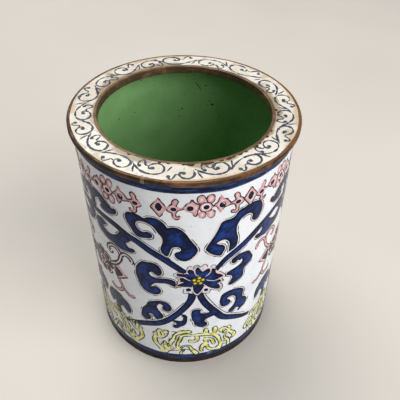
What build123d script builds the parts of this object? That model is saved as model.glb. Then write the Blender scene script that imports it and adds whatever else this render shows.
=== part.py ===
"""A painted-enamel desk cup for pens and brushes.

The body is copper sheet: a rolled and brazed tube, a recessed base plate and a flat
in-turned top plate. A plain copper band trims the outer edge of the rim, a strip collar
lines the mouth and a thin band protects the foot. Vitreous enamel covers everything
between the bare bands, outside, inside and underneath.

Frame: origin at the centre of the foot circle, +Z up the axis, -Y towards the viewer.
Units are millimetres.
"""

from build123d import *
import math
import os

# ---- driving dimensions ----------------------------------------------------------------
HEIGHT = 102.5
RIM_DIAMETER = 80.0

RIM_RADIUS = RIM_DIAMETER / 2
BAND_OVERHANG = 1.6       # how far the rim band stands out from the enamelled wall
ENAMEL = 0.4              # thickness of every fired enamel coat
SHEET = 1.0               # copper sheet of tube, base and top plate

WALL_OUTER = RIM_RADIUS - BAND_OVERHANG      # outside of the enamelled wall
TUBE_OUTER = WALL_OUTER - ENAMEL
TUBE_INNER = TUBE_OUTER - SHEET
LINING_INNER = TUBE_INNER - ENAMEL           # inside of the green lining

# rim band and mouth collar
BAND_HEIGHT = 2.0
BAND_ROUND = 0.45         # rounding of the band's outer corners
BAND_BOTTOM = HEIGHT - BAND_HEIGHT
MOUTH_RADIUS = 30.4
COLLAR_THICKNESS = 0.8
COLLAR_OUTER = MOUTH_RADIUS + COLLAR_THICKNESS
COLLAR_HEIGHT = 3.0
COLLAR_BOTTOM = HEIGHT - COLLAR_HEIGHT
COLLAR_ROUND = 0.3

# top plate with its enamel, which lies a little below the lip of the bands
LIP = 0.1
RIM_ENAMEL_TOP = HEIGHT - LIP
PLATE_TOP = RIM_ENAMEL_TOP - ENAMEL
PLATE_BOTTOM = PLATE_TOP - SHEET
PLATE_BRAZE = 0.2         # solder between the tube's end and the top plate
TUBE_TOP = PLATE_BOTTOM - PLATE_BRAZE

# foot and base
FOOT_BAND_HEIGHT = 3.3
FOOT_ROUND = 0.25
BASE_BOTTOM = 2.5
BASE_TOP = BASE_BOTTOM + SHEET
BASE_FILLET = 1.0         # leg of the solder fillet under the base plate

# painted borders at the top and bottom of the outer wall
BORDER_WIDTH = 3.4
LOWER_BORDER_TOP = FOOT_BAND_HEIGHT + BORDER_WIDTH
UPPER_BORDER_BOTTOM = BAND_BOTTOM - BORDER_WIDTH

# joints in the rolled strips: width of the solder, and where it lies, in degrees
# counter-clockwise from +X seen from above
SEAM_WIDTH = 0.5
JOINT_WIDTH = 1.2
BODY_SEAM_ANGLE = 90.0
FOOT_JOINT_ANGLE = 90.0
RIM_JOINT_ANGLE = 252.0
COLLAR_JOINT_ANGLE = 270.0


# ---- building blocks -------------------------------------------------------------------
def turned(points, rounded=(), radius=0.0):
    """A full turn of a closed (radius, height) outline; the corners listed are rounded."""
    with BuildPart() as body:
        with BuildSketch(Plane.XZ) as section:
            with BuildLine():
                Polyline(*points, close=True)
            make_face()
            if rounded:
                chosen = [
                    corner
                    for corner in section.vertices()
                    for r, z in rounded
                    if abs(corner.X - r) + abs(corner.Y - z) < 1e-6
                ]
                fillet(chosen, radius)
        revolve(axis=Axis.Z)
    return body.part.solid()


def ring(inner, outer, bottom, top, rounded=(), radius=0.0):
    """A ring of rectangular section, with the listed corners rounded."""
    corners = [(inner, bottom), (outer, bottom), (outer, top), (inner, top)]
    return turned(corners, rounded, radius)


def disc(radius, bottom, top):
    """A flat round plate on the axis."""
    return Pos(0, 0, bottom) * Cylinder(radius, top - bottom, align=(Align.CENTER, Align.CENTER, Align.MIN))


def joint_block(width, angle):
    """A slab that cuts a ring at one place, straight out from the axis at the given angle."""
    reach = 2 * RIM_RADIUS
    slab = Box(reach, width, 2 * HEIGHT, align=(Align.MIN, Align.CENTER, Align.CENTER))
    return Rot(0, 0, angle) * slab


def rolled(hoop, width, angle):
    """A strip rolled to a hoop, and the solder that closes it: (strip, solder)."""
    block = joint_block(width, angle)
    return (hoop - block).solid(), (hoop & block).solid()


# ---- copper body -----------------------------------------------------------------------
def copper_body():
    tube = ring(TUBE_INNER, TUBE_OUTER, 0, TUBE_TOP)
    body_tube, body_seam = rolled(tube, SEAM_WIDTH, BODY_SEAM_ANGLE)
    fillet_section = [
        (TUBE_INNER, BASE_BOTTOM),
        (TUBE_INNER - BASE_FILLET, BASE_BOTTOM),
        (TUBE_INNER, BASE_BOTTOM - BASE_FILLET),
    ]
    return {
        "body_tube": body_tube,
        "body_seam_solder": body_seam,
        "base_plate": disc(TUBE_INNER, BASE_BOTTOM, BASE_TOP),
        "base_solder_fillet": turned(fillet_section),
        "top_plate": ring(COLLAR_OUTER, TUBE_OUTER, PLATE_BOTTOM, PLATE_TOP),
        "top_plate_solder": ring(TUBE_INNER, TUBE_OUTER, TUBE_TOP, PLATE_BOTTOM),
    }


# ---- bare copper bands -----------------------------------------------------------------
def bare_bands():
    # the rim band is rebated: the enamel of the rim laps over its inner ledge
    rim_section = [
        (TUBE_OUTER, BAND_BOTTOM),
        (RIM_RADIUS, BAND_BOTTOM),
        (RIM_RADIUS, HEIGHT),
        (WALL_OUTER, HEIGHT),
        (WALL_OUTER, PLATE_TOP),
        (TUBE_OUTER, PLATE_TOP),
    ]
    rim_corners = [(RIM_RADIUS, BAND_BOTTOM), (RIM_RADIUS, HEIGHT)]
    rim_hoop = turned(rim_section, rim_corners, BAND_ROUND)
    collar_corners = [(MOUTH_RADIUS, HEIGHT), (MOUTH_RADIUS, COLLAR_BOTTOM)]
    collar_hoop = ring(
        MOUTH_RADIUS, COLLAR_OUTER, COLLAR_BOTTOM, HEIGHT, collar_corners, COLLAR_ROUND
    )
    foot_hoop = ring(
        TUBE_OUTER, WALL_OUTER, 0, FOOT_BAND_HEIGHT, [(WALL_OUTER, 0)], FOOT_ROUND
    )
    rim_band, rim_joint = rolled(rim_hoop, JOINT_WIDTH, RIM_JOINT_ANGLE)
    mouth_collar, collar_joint = rolled(collar_hoop, JOINT_WIDTH, COLLAR_JOINT_ANGLE)
    foot_band, foot_joint = rolled(foot_hoop, JOINT_WIDTH, FOOT_JOINT_ANGLE)
    return {
        "rim_band": rim_band,
        "rim_band_solder": rim_joint,
        "mouth_collar": mouth_collar,
        "mouth_collar_solder": collar_joint,
        "foot_band": foot_band,
        "foot_band_solder": foot_joint,
    }


# ---- fired enamel ----------------------------------------------------------------------
def enamel_coats():
    floor_top = BASE_TOP + ENAMEL
    return {
        "wall_enamel": ring(TUBE_OUTER, WALL_OUTER, LOWER_BORDER_TOP, UPPER_BORDER_BOTTOM),
        "upper_border_enamel": ring(TUBE_OUTER, WALL_OUTER, UPPER_BORDER_BOTTOM, BAND_BOTTOM),
        "lower_border_enamel": ring(TUBE_OUTER, WALL_OUTER, FOOT_BAND_HEIGHT, LOWER_BORDER_TOP),
        "rim_enamel": ring(COLLAR_OUTER, WALL_OUTER, PLATE_TOP, RIM_ENAMEL_TOP),
        "wall_lining_enamel": ring(LINING_INNER, TUBE_INNER, floor_top, PLATE_BOTTOM),
        "floor_lining_enamel": disc(TUBE_INNER, BASE_TOP, floor_top),
        "top_lining_enamel": ring(
            COLLAR_OUTER, LINING_INNER, PLATE_BOTTOM - ENAMEL, PLATE_BOTTOM
        ),
        "underside_enamel": disc(TUBE_INNER - BASE_FILLET, BASE_BOTTOM - ENAMEL, BASE_BOTTOM),
    }


def main():
    os.makedirs("parts", exist_ok=True)
    nodes = {**copper_body(), **bare_bands(), **enamel_coats()}
    for name, solid in nodes.items():
        solid.label = name
        export_step(solid, os.path.join("parts", name + ".step"))
    capacity = math.pi * LINING_INNER**2 * (PLATE_BOTTOM - BASE_TOP) / 1000
    print(len(nodes), "nodes, capacity about", round(capacity), "ml")


main()
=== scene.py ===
"""Looks of the enamelled pen cup: camera, light, finishes and the painted decoration.

Lengths are millimetres until a mesh is made, which is in metres. On the wall a point is
(u, z): u runs along the wall from the front line (-Y) towards +X, z is the height. On the
rim a point is (s, r): s runs along the rim's middle circle from the same front line, r is
the radius. Paint is modelled as thin closed slabs and strokes that stand on the enamel.
"""

import math
import random

import bpy
import numpy as np
from mathutils import Matrix, Vector, noise
from mathutils.geometry import delaunay_2d_cdt


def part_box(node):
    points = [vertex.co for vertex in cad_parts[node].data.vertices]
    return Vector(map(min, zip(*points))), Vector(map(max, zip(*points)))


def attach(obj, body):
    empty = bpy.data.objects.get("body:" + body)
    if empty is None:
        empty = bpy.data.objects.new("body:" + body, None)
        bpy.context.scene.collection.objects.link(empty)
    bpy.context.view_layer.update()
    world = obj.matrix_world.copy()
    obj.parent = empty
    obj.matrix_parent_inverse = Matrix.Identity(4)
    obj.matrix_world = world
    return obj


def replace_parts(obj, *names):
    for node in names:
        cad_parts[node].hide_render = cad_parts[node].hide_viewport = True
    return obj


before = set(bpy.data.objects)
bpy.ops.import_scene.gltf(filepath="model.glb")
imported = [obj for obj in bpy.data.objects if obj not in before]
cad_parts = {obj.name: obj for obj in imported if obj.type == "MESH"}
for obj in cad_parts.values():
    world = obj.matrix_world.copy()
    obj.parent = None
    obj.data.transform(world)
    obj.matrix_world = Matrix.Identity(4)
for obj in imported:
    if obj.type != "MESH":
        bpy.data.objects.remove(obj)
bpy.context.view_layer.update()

MM = 0.001
random.seed(11)
noise.seed_set(11)               # without it noise_vector would differ from run to run


def box_mm(node):
    """Lowest and highest corner of a CAD node, in millimetres."""
    low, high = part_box(node)
    return low / MM, high / MM


# ---- sizes taken from the frame ---------------------------------------------------------
WALL_LOW, WALL_HIGH = box_mm("wall_enamel")
WALL_R = WALL_HIGH.x
LOWER_BORDER_TOP = WALL_LOW.z
UPPER_BORDER_BOTTOM = WALL_HIGH.z
BAND_LOW, BAND_HIGH = box_mm("rim_band")
RIM_R = BAND_HIGH.x
CUP_TOP = BAND_HIGH.z
BAND_BOTTOM = BAND_LOW.z
FOOT_TOP = box_mm("foot_band")[1].z
COLLAR_LOW, COLLAR_HIGH = box_mm("mouth_collar")
COLLAR_R = COLLAR_HIGH.x
COLLAR_WALL = 0.8                # thickness of the collar's strip
MOUTH_R = COLLAR_R - COLLAR_WALL
PLATE_TOP, RIM_TOP = (corner.z for corner in box_mm("rim_enamel"))
TUBE_R = box_mm("body_tube")[1].x
LINING_LOW, LINING_HIGH = box_mm("wall_lining_enamel")
LINING_R = LINING_HIGH.x
ENAMEL = WALL_R - TUBE_R

AROUND = 2 * math.pi * WALL_R     # length of the wall, once round
PANELS = 3
PITCH = AROUND / PANELS          # from one painted lotus to the next
PANEL_U = 4.2                    # the front lotus stands a little right of the front line
RIM_MID = (COLLAR_R + WALL_R) / 2
RIM_ENAMEL_R = WALL_R + 0.5      # the rim's enamel laps this far over the band


# ---- curves -----------------------------------------------------------------------------
def spline(points, spacing=0.3, closed=False):
    """Points along a Catmull-Rom curve. A control point given twice makes a corner."""
    p = np.asarray(points, float)
    count = len(p)
    out = []
    for i in range(count if closed else count - 1):
        if closed:
            a, b, c, d = (p[(i + k - 1) % count] for k in range(4))
        else:
            a, b, c, d = p[max(i - 1, 0)], p[i], p[i + 1], p[min(i + 2, count - 1)]
        length = float(np.hypot(*(c - b)))
        if length < 1e-6:
            continue
        steps = max(2, math.ceil(length / spacing))
        t = (np.arange(steps) / steps)[:, None]
        out.append(0.5 * (2 * b + (c - a) * t + (2 * a - 5 * b + 4 * c - d) * t**2
                          + (3 * b - a - 3 * c + d) * t**3))
    if not closed:
        out.append(p[-1:])
    return np.concatenate(out)


def directions(line, closed=False):
    """Unit tangents and left-hand normals along a line of points."""
    if closed:
        step = np.roll(line, -1, 0) - np.roll(line, 1, 0)
    else:
        step = np.gradient(line, axis=0)
    tangent = step / np.maximum(np.hypot(step[:, 0], step[:, 1]), 1e-9)[:, None]
    return tangent, np.stack([-tangent[:, 1], tangent[:, 0]], 1)


def run_length(line):
    """Distance along a line of points, from its first point."""
    step = np.hypot(*np.diff(line, axis=0).T)
    return np.concatenate([[0.0], np.cumsum(step)])


def to_outline(points, loop):
    """Distance from each point to a closed outline, worked out in batches."""
    along = np.roll(loop, -1, 0) - loop
    scale = np.maximum((along**2).sum(1), 1e-12)
    best = np.zeros(len(points))
    batch = 400
    for first in range(0, len(points), batch):
        q = points[first:first + batch, None] - loop[None]
        t = np.clip((q * along[None]).sum(2) / scale, 0, 1)
        gap = q - t[..., None] * along[None]
        best[first:first + batch] = np.sqrt((gap**2).sum(2).min(1))
    return best


def inside(points, loop):
    """Which points lie inside a closed outline."""
    odd = np.zeros(len(points), bool)
    x, y = points[:, 0], points[:, 1]
    for (ax, ay), (bx, by) in zip(loop, np.roll(loop, -1, 0)):
        if ay != by:
            odd ^= ((ay > y) != (by > y)) & (x < (bx - ax) * (y - ay) / (by - ay) + ax)
    return odd


def fits(line, loops, clear=0.3):
    """Which points of a line stay clear of other paint."""
    free = np.ones(len(line), bool)
    for other in loops:
        low, high = other.min(0) - clear, other.max(0) + clear
        near = np.flatnonzero(((line > low) & (line < high)).all(1))
        if len(near):
            hit = inside(line[near], other) | (to_outline(line[near], other) < clear)
            free[near[hit]] = False
    return free


def pieces_of(line, free, shortest=1.2):
    """The free stretches of a line."""
    run, runs = [], []
    for point, kept in zip(line, free):
        if kept:
            run.append(point)
            continue
        runs.append(run)
        run = []
    runs.append(run)
    return [np.array(r) for r in runs if len(r) > 3 and run_length(np.array(r))[-1] > shortest]


def wavering(values, rate, seed):
    """Smooth hand-drawn unevenness, about -1 to 1, at each value."""
    return np.array([noise.noise(Vector((v * rate, seed * 7.31, 0.5))) for v in values])


def oval(u, z, wide, high, turns=20, uneven=0.0, seed=0.0):
    """A closed oval outline, ragged if uneven is over 0."""
    turn = np.linspace(0, 2 * math.pi, turns, endpoint=False)
    reach = 1 + uneven * wavering(turn, 1.1, seed) if uneven else 1
    return np.stack([u + wide * reach * np.cos(turn), z + high * reach * np.sin(turn)], 1)


# ---- surfaces ---------------------------------------------------------------------------
RIPPLE = 0.03                    # unevenness of fired enamel
RIPPLE_RATE = 0.11               # its ups and downs per millimetre


def ripple(x, y, z):
    """Slow unevenness of the enamel at each point, in millimetres."""
    return np.array([RIPPLE * noise.noise(Vector(p) * RIPPLE_RATE) for p in zip(x, y, z)])


def on_wall(points):
    """(u, z, height above the enamel) to metres."""
    u, z, h = points.T
    angle = u / WALL_R - math.pi / 2
    r = WALL_R + h + ripple(WALL_R * np.cos(angle), WALL_R * np.sin(angle), z)
    return np.stack([r * np.cos(angle), r * np.sin(angle), z], 1) * MM


def on_rim(points):
    """(s, r, height above the enamel) to metres."""
    s, r, h = points.T
    angle = s / RIM_MID - math.pi / 2
    x, y = r * np.cos(angle), r * np.sin(angle)
    return np.stack([x, y, RIM_TOP + h + ripple(x, y, np.full_like(x, RIM_TOP))], 1) * MM


# ---- meshes -----------------------------------------------------------------------------
def mesh_object(name, verts, faces, finish):
    """A mesh object with one material; its points are in metres."""
    mesh = bpy.data.meshes.new(name)
    mesh.from_pydata(np.asarray(verts).tolist(), [], faces)
    mesh.validate()
    mesh.materials.append(finish)
    thing = bpy.data.objects.new(name, mesh)
    bpy.context.scene.collection.objects.link(thing)
    return thing


def piece(name, verts, faces, finish, depth=None, sharp=50):
    """A piece of the cup, smooth shaded up to the sharp angle, riding on the root body."""
    thing = mesh_object(name, verts, faces, finish)
    mesh = thing.data
    mesh.shade_smooth()
    mesh.set_sharp_from_angle(angle=math.radians(sharp))
    if depth is not None:
        attribute = mesh.attributes.new("edge_mm", "FLOAT", "POINT")
        attribute.data.foreach_set("value", np.asarray(depth, np.float32))
    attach(thing, "root")
    return thing


EDGE_LIFT = 0.012                # height of a slab's outline above the enamel
SUNK = 0.05                      # depth of its underside below the enamel
ROW_STEP = 0.866                 # rows of a lattice of triangles, in steps of the lattice
BREAK_OFF = -0.35                # unevenness, from -1 to 1, under which a brush line breaks


class Paint:
    """Slabs and strokes of one paint on one surface, gathered into one mesh."""

    def __init__(self, surface):
        """Starts with nothing painted; surface turns (along, across, height) into metres."""
        self.surface = surface
        self.points, self.faces, self.depth, self.count = [], [], [], 0

    def gather(self, points, faces, depth):
        """Adds one slab or stroke; depth is each point's distance from its outline."""
        self.points.append(points)
        self.depth.append(depth)
        self.faces += [tuple(int(i) + self.count for i in face) for face in faces]
        self.count += len(points)

    def fill(self, outline, crown=0.07, shoulder=0.5, grid=0.65, lift=0.0):
        """A low slab inside a closed outline, domed within the shoulder's width."""
        loop = np.asarray(outline, float)
        low, high = loop.min(0), loop.max(0)
        lattice = []
        for k, row in enumerate(np.arange(low[1], high[1], grid * ROW_STEP)):
            across = np.arange(low[0] + (k % 2) * grid / 2, high[0], grid)
            lattice.append(np.stack([across, np.full_like(across, row)], 1))
        lattice = np.concatenate(lattice)
        lattice = lattice[inside(lattice, loop)]
        if len(lattice):
            lattice = lattice[to_outline(lattice, loop) > 0.45 * grid]
        edges = [(i, (i + 1) % len(loop)) for i in range(len(loop))]
        flat = [Vector(p) for p in np.concatenate([loop, lattice])]
        flat, _, triangles, *_ = delaunay_2d_cdt(flat, edges, [], 0, 1e-5)
        flat = np.array([tuple(p) for p in flat])
        triangles = np.array(triangles)
        triangles = triangles[inside(flat[triangles].mean(1), loop)]
        gap = to_outline(flat, loop)
        rise = np.clip(gap / shoulder, 0, 1)
        top = EDGE_LIFT + lift + crown * (1 - (1 - rise) ** 2)
        n = len(flat)
        points = np.concatenate([
            np.column_stack([flat, top]), np.column_stack([flat, np.full(n, -SUNK)])
        ])
        a, b, c = triangles.T
        area = ((flat[b] - flat[a]) * (flat[c] - flat[a])[:, ::-1] * [1, -1]).sum(1)
        triangles[area < 0] = triangles[area < 0][:, ::-1]
        sides = {}
        for tri in triangles.tolist():
            for i in range(3):
                sides[(tri[i], tri[(i + 1) % 3])] = True
        rims = [(p, q) for p, q in sides if (q, p) not in sides]
        faces = [tuple(t) for t in triangles.tolist()]
        faces += [tuple(i + n for i in reversed(t)) for t in triangles.tolist()]
        faces += [(q, p, p + n, q + n) for p, q in rims]
        self.gather(points, faces, np.concatenate([gap, gap]))

    def stroke(self, line, width, crown=0.05, taper=0.8, seed=0.0, uneven=0.2, lift=0.0,
               closed=False):
        """A brush stroke along a line, tapered over its ends and slightly uneven."""
        line = np.asarray(line, float)
        along = run_length(line)
        half = 0.5 * width * (1 + uneven * wavering(along, 0.9, seed + width))
        if not closed and taper:
            reach = min(taper, 0.45 * along[-1])
            ends = np.minimum(along, along[-1] - along) / max(reach, 1e-6)
            half = half * (0.25 + 0.75 * np.sqrt(np.clip(ends, 0, 1)))   # to a quarter
        _, normal = directions(line, closed)
        n = len(line)
        left, right = line + normal * half[:, None], line - normal * half[:, None]
        edge = np.full(n, EDGE_LIFT + lift)
        points = np.concatenate([
            np.column_stack([left, edge]),
            np.column_stack([line, edge + crown]),
            np.column_stack([right, edge]),
            np.column_stack([line, np.full(n, -SUNK)]),
        ])
        faces = []
        for i in range(n if closed else n - 1):
            j = (i + 1) % n
            for k in range(4):
                m = (k + 1) % 4
                faces.append((k * n + i, m * n + i, m * n + j, k * n + j))
        if not closed:
            faces += [(0, 3 * n, 2 * n, n), (n - 1, 2 * n - 1, 3 * n - 1, 4 * n - 1)]
        depth = np.concatenate([np.zeros(n), half, np.zeros(n), half])
        self.gather(points, faces, depth)

    def dot(self, centre, radius, crown=0.08, squash=1.0, lift=0.0):
        """A round dot of paint, taller than wide if squash is over 1."""
        turn = np.linspace(0, 2 * math.pi, 14, endpoint=False)
        ring = np.stack([np.cos(turn), np.sin(turn) * squash], 1)
        n = len(turn)
        rings = [(1.0, 0.0), (0.72, 0.6), (0.38, 0.93)]     # share of the radius, of the crown
        rows = [np.column_stack([np.asarray(centre) + ring * radius * k,
                                 np.full(n, EDGE_LIFT + lift + crown * rise)])
                for k, rise in rings]
        rows.append([[*centre, EDGE_LIFT + lift + crown]])
        rows.append(np.column_stack([np.asarray(centre) + ring * radius, np.full(n, -SUNK)]))
        rows.append([[*centre, -SUNK]])
        faces = []
        for i in range(n):
            j = (i + 1) % n
            for k in range(len(rings) - 1):
                faces.append((k * n + i, k * n + j, k * n + n + j, k * n + n + i))
            faces.append((2 * n + i, 2 * n + j, 3 * n))
            faces.append((3 * n + 1 + i, i, j, 3 * n + 1 + j)[::-1])
            faces.append((3 * n + 1 + j, 3 * n + 1 + i, 4 * n + 1))
        depth = np.concatenate([np.full(n, radius * (1 - k)) for k, _ in rings]
                               + [[radius], np.zeros(n), [radius]])
        self.gather(np.concatenate(rows), faces, depth)

    def contour(self, loop, width, seed=0.0, **style):
        """A brush line round a closed outline that swells, thins and breaks off in places."""
        around = np.concatenate([loop, loop[:1]])
        kept = wavering(run_length(around), 0.3, seed + 0.7) > BREAK_OFF
        for number, line in enumerate(pieces_of(around, kept)):
            self.stroke(line, width, seed=seed + number, taper=0.7, uneven=0.8, **style)

    def build(self, name, finish, slot):
        """Makes the mesh of everything gathered."""
        points = self.surface(np.concatenate(self.points))
        turned = self.surface is not on_wall         # the rim's and lining's planes are mirrored
        faces = [face[::-1] for face in self.faces] if turned else self.faces
        return piece(name, points, faces, finish, np.concatenate(self.depth))


def moved(points, shift=0.0, flip=None):
    """Points slid along the wall, first turned over about the upright line u = flip."""
    p = np.array(points, float)
    if flip is not None:
        p[:, 0] = 2 * flip - p[:, 0]
    p[:, 0] += shift
    return p


def outward(loop):
    """Unit normals that point out of a closed outline."""
    _, normal = directions(loop, closed=True)
    x, y = loop.T
    area = (x * np.roll(y, -1) - np.roll(x, -1) * y).sum()
    return -normal if area > 0 else normal


def halo(paint, loop, gap, width, blockers=(), clear=0.3, seed=0.0, share=1.0, shortest=1.4,
         **style):
    """A line drawn round an outline at a small gap, broken where other paint is in its way."""
    along = run_length(loop)
    reach = gap * (1 + 0.25 * wavering(along, 0.35, seed))
    line = loop + outward(loop) * reach[:, None]
    keep = to_outline(line, loop) > 0.86 * reach     # not where the outline bends back on it
    if share < 1:                                    # drawn on about this share of its length
        keep &= wavering(along, 0.16, seed + 3) > 0.6 * (1 - 2 * share)
    keep &= fits(line, [other for other in blockers if other is not loop], clear)
    if keep.all():
        paint.stroke(line, width, seed=seed, closed=True, **style)
        return
    first = int(np.argmin(keep))
    line, keep = np.roll(line, -first, 0), np.roll(keep, -first)
    run = []
    for point, kept in zip(line, np.append(keep[1:], False)):
        run.append(point)
        if not kept:
            if len(run) > 3 and run_length(np.array(run))[-1] > shortest:
                paint.stroke(run[1:], width, seed=seed + len(run), **style)
            run = []


def band(line, width, round_ends=False):
    """The closed outline of a band along a line of points, with its widths from end to end."""
    tangent, normal = directions(line)
    along = run_length(line) / run_length(line)[-1]
    half = 0.5 * np.interp(along, np.linspace(0, 1, len(width)), width)[:, None]
    left, right = line + half * normal, line - half * normal
    if not round_ends:
        return np.concatenate([left, right[::-1]])
    turn = np.linspace(0, math.pi, 7)[1:-1, None]
    far = line[-1] + half[-1] * (np.cos(turn) * normal[-1] + np.sin(turn) * tangent[-1])
    near = line[0] - half[0] * (np.cos(turn) * normal[0] + np.sin(turn) * tangent[0])
    return np.concatenate([left, far, right[::-1], near])


# ---- what is painted: the blue scrolls ---------------------------------------------------
# Outlines of the leaves of the front panel, each read round its edge.
UPPER_LEFT_SCROLL = [
    (-19.9, 84.7), (-18.6, 85.75), (-16.5, 86.1), (-14.5, 85.6), (-13.3, 85.1), (-11.9, 85.9),
    (-9.7, 86.1), (-7.9, 85.4), (-6.5, 84), (-5.6, 82.5), (-4, 83), (-2.2, 82.6), (-0.6, 81.3),
    (0.6, 79.5), (1.5, 77.7), (2.6, 75.75), (3.7, 73.8), (4.2, 72), (3.7, 70.2), (2.6, 68.6),
    (1.5, 67.4), (-0.1, 66.7), (-1.9, 67.2), (-3.1, 68.4), (-3.6, 69.9), (-3.1, 71.1),
    (-2, 71.6), (-1.4, 72.4), (-1.8, 73.4), (-2.9, 73.8), (-4.2, 73.1), (-4.9, 71.6),
    (-5.25, 70.2), (-5.8, 69), (-6.7, 68.9), (-7.6, 70), (-8.2, 71.3), (-8.1, 73.1),
    (-7.5, 74.9), (-7.4, 76.6), (-7.9, 78.1), (-9, 79.7), (-10.1, 81.6), (-11.5, 82.7),
    (-13.3, 83.25), (-15.1, 83.1), (-16.1, 82.2), (-16.3, 80.9), (-15.6, 79.5), (-14.6, 78.7),
    (-13.6, 78.6), (-12.6, 79.1), (-11.3, 78.8), (-10.7, 77.9), (-10.9, 76.8), (-11.9, 76.1),
    (-13.6, 75.75), (-15.4, 75.4), (-16.7, 75.9), (-17.75, 77.4), (-18.6, 79.1),
    (-19.7, 80.9), (-20.25, 82.9),
]
UPPER_RIGHT_SCROLL = [
    (6.75, 72), (7.4, 73.8), (8.4, 75.75), (9.4, 77.7), (10.3, 79.7), (11, 81.6),
    (11.75, 83.4), (13.4, 84.1), (15.1, 84.2), (16.4, 84.9), (17.1, 86.1), (18.5, 87),
    (19.8, 87.2), (21.2, 87.7), (23.4, 87.8), (25.5, 87.2), (26.9, 85.9), (27.7, 84.3),
    (27.8, 82.4), (27.3, 80.4), (26.2, 78.8), (25, 78.5), (23.7, 79.3), (23.2, 80.6),
    (23.4, 81.8), (22.8, 82.9), (21.6, 83.4), (20.1, 83.1), (18.9, 82.4), (18, 81.1),
    (17.5, 79.5), (17.5, 77.7), (17.8, 75.9), (18.3, 74.1), (18.4, 72.4), (18.2, 70.6),
    (17.6, 69.4), (16.3, 68.7), (15.1, 68.4), (15.1, 70.6), (15.1, 72.4), (14.4, 74),
    (13.2, 74.9), (11.75, 74.9), (10.6, 74.1), (11.4, 73.25), (12.6, 72.7), (13.5, 71.6),
    (13.6, 70.2), (13, 68.8), (12.3, 67.4), (10.5, 68), (8.7, 69.3), (7.5, 70.6),
]
LEFT_LEAF = [
    (-16.9, 61.6), (-15.4, 63.4), (-13.6, 63.8), (-11.7, 64.2), (-9.7, 63.6), (-8.6, 62),
    (-8.1, 59.9), (-8.6, 58.25), (-9.7, 57.5), (-10.8, 58.1), (-11.7, 58.9), (-12.6, 58.6),
    (-12.75, 57.5), (-11.9, 56.6), (-10.25, 56.2), (-8.3, 56.5), (-6.1, 56.7), (-4.4, 56.3),
    (-3.4, 55.2), (-3.5, 53.6), (-4.4, 52.6), (-5.4, 53.4), (-7.2, 53.9), (-9, 53.6),
    (-10.8, 53.1), (-12, 51.8), (-12.4, 50.6), (-11.7, 51.1), (-10.6, 51.4), (-9.5, 50.75),
    (-8.8, 49.5), (-9, 47.9), (-10.1, 46.6), (-11.9, 46.1), (-14, 46.5), (-15.8, 47.7),
    (-17, 49.9), (-17.75, 52.4), (-18.3, 54.9), (-18.3, 57.4), (-17.75, 59.9),
]
RIGHT_LEAF = [
    (18, 64.3), (19.8, 64.9), (21.6, 64.7), (23.4, 64.3), (24.6, 63.1), (25.5, 61.3),
    (26.2, 59.9), (26, 58.25), (24.8, 57), (23.4, 56.1), (22.6, 54.9), (22.5, 53.1),
    (22.5, 51.6), (21.6, 50.4), (19.8, 49.7), (18, 49), (16.6, 49.1), (16.1, 50.2),
    (16.9, 51.6), (17.5, 53.1), (17.1, 54.3), (16, 55), (15, 55.75), (15.3, 57),
    (16.9, 57.7), (18.7, 58.25), (20.3, 59), (21.2, 60.2), (20.9, 61.5), (20.3, 60.9),
    (19.4, 61.6), (18.4, 60.75), (17.3, 60.9), (16.6, 62), (16.75, 63.4),
]
LOWER_LEFT_LEAF = [
    (-17.75, 30.9), (-17.6, 32.4), (-17.2, 34.5), (-16.3, 36.5), (-15.25, 38.1),
    (-14.6, 39.9), (-13.3, 41.3), (-11.5, 42.2), (-9.7, 42.9), (-7.9, 42.9), (-6.3, 42),
    (-5.25, 40.2), (-5.1, 38.4), (-6, 37), (-7.4, 36.8), (-8.6, 37.7), (-8.8, 39),
    (-8.5, 40), (-9.4, 40.9), (-10.25, 40.2), (-10.8, 38.8), (-10.25, 37), (-9.2, 35.2),
    (-8.3, 33.4), (-9, 31.6), (-10.4, 30.6), (-11.1, 29.9), (-12.2, 31.3), (-12.9, 32.9),
    (-13.8, 33.1), (-14.3, 32.4), (-13.6, 31.3), (-13.4, 30.2), (-14.4, 28.6),
    (-16.1, 28.25), (-17.4, 29.3),
]
LOWER_RIGHT_LEAF = [
    (13.2, 39.9), (13.2, 42), (13.7, 44.1), (15, 45.2), (16.9, 45.6), (19.1, 45.4),
    (21.2, 44.5), (23, 43.1), (23.9, 41.3), (23.7, 39.1), (23.7, 37.7), (25.1, 36.3),
    (26.2, 34.5), (26.2, 32.7), (25.5, 30.9), (23.7, 30), (22.3, 29), (21.75, 29.9),
    (22.3, 30.9), (21.2, 32), (20.3, 31.8), (19.8, 30.9), (19.1, 30.4), (17.5, 31.3),
    (17.6, 32.9), (19.1, 34.5), (19.9, 36.3), (20.1, 38.4), (19.8, 40.2), (18.7, 41.3),
    (17.3, 41.6), (16.4, 40.9), (16.9, 40.2), (17.8, 39.1), (18, 37.7), (16.9, 36.6),
    (15.1, 36.5), (13.9, 37.4),
]
SMALL_LEFT_LEAF = [
    (-1.8, 35.6), (-0.2, 35.6), (0.7, 34.2), (0.8, 32.2), (0.5, 30), (-0.3, 28.4),
    (-1.6, 27.4), (-2.8, 26.4), (-4.2, 26.3), (-5, 27.3), (-4.5, 28.4), (-3.4, 28.9),
    (-4, 30), (-5.4, 31), (-5, 31.6), (-3.4, 31.6), (-1.9, 31.3), (-1.1, 32), (-0.9, 33.4),
    (-1.4, 34.6),
]
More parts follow.
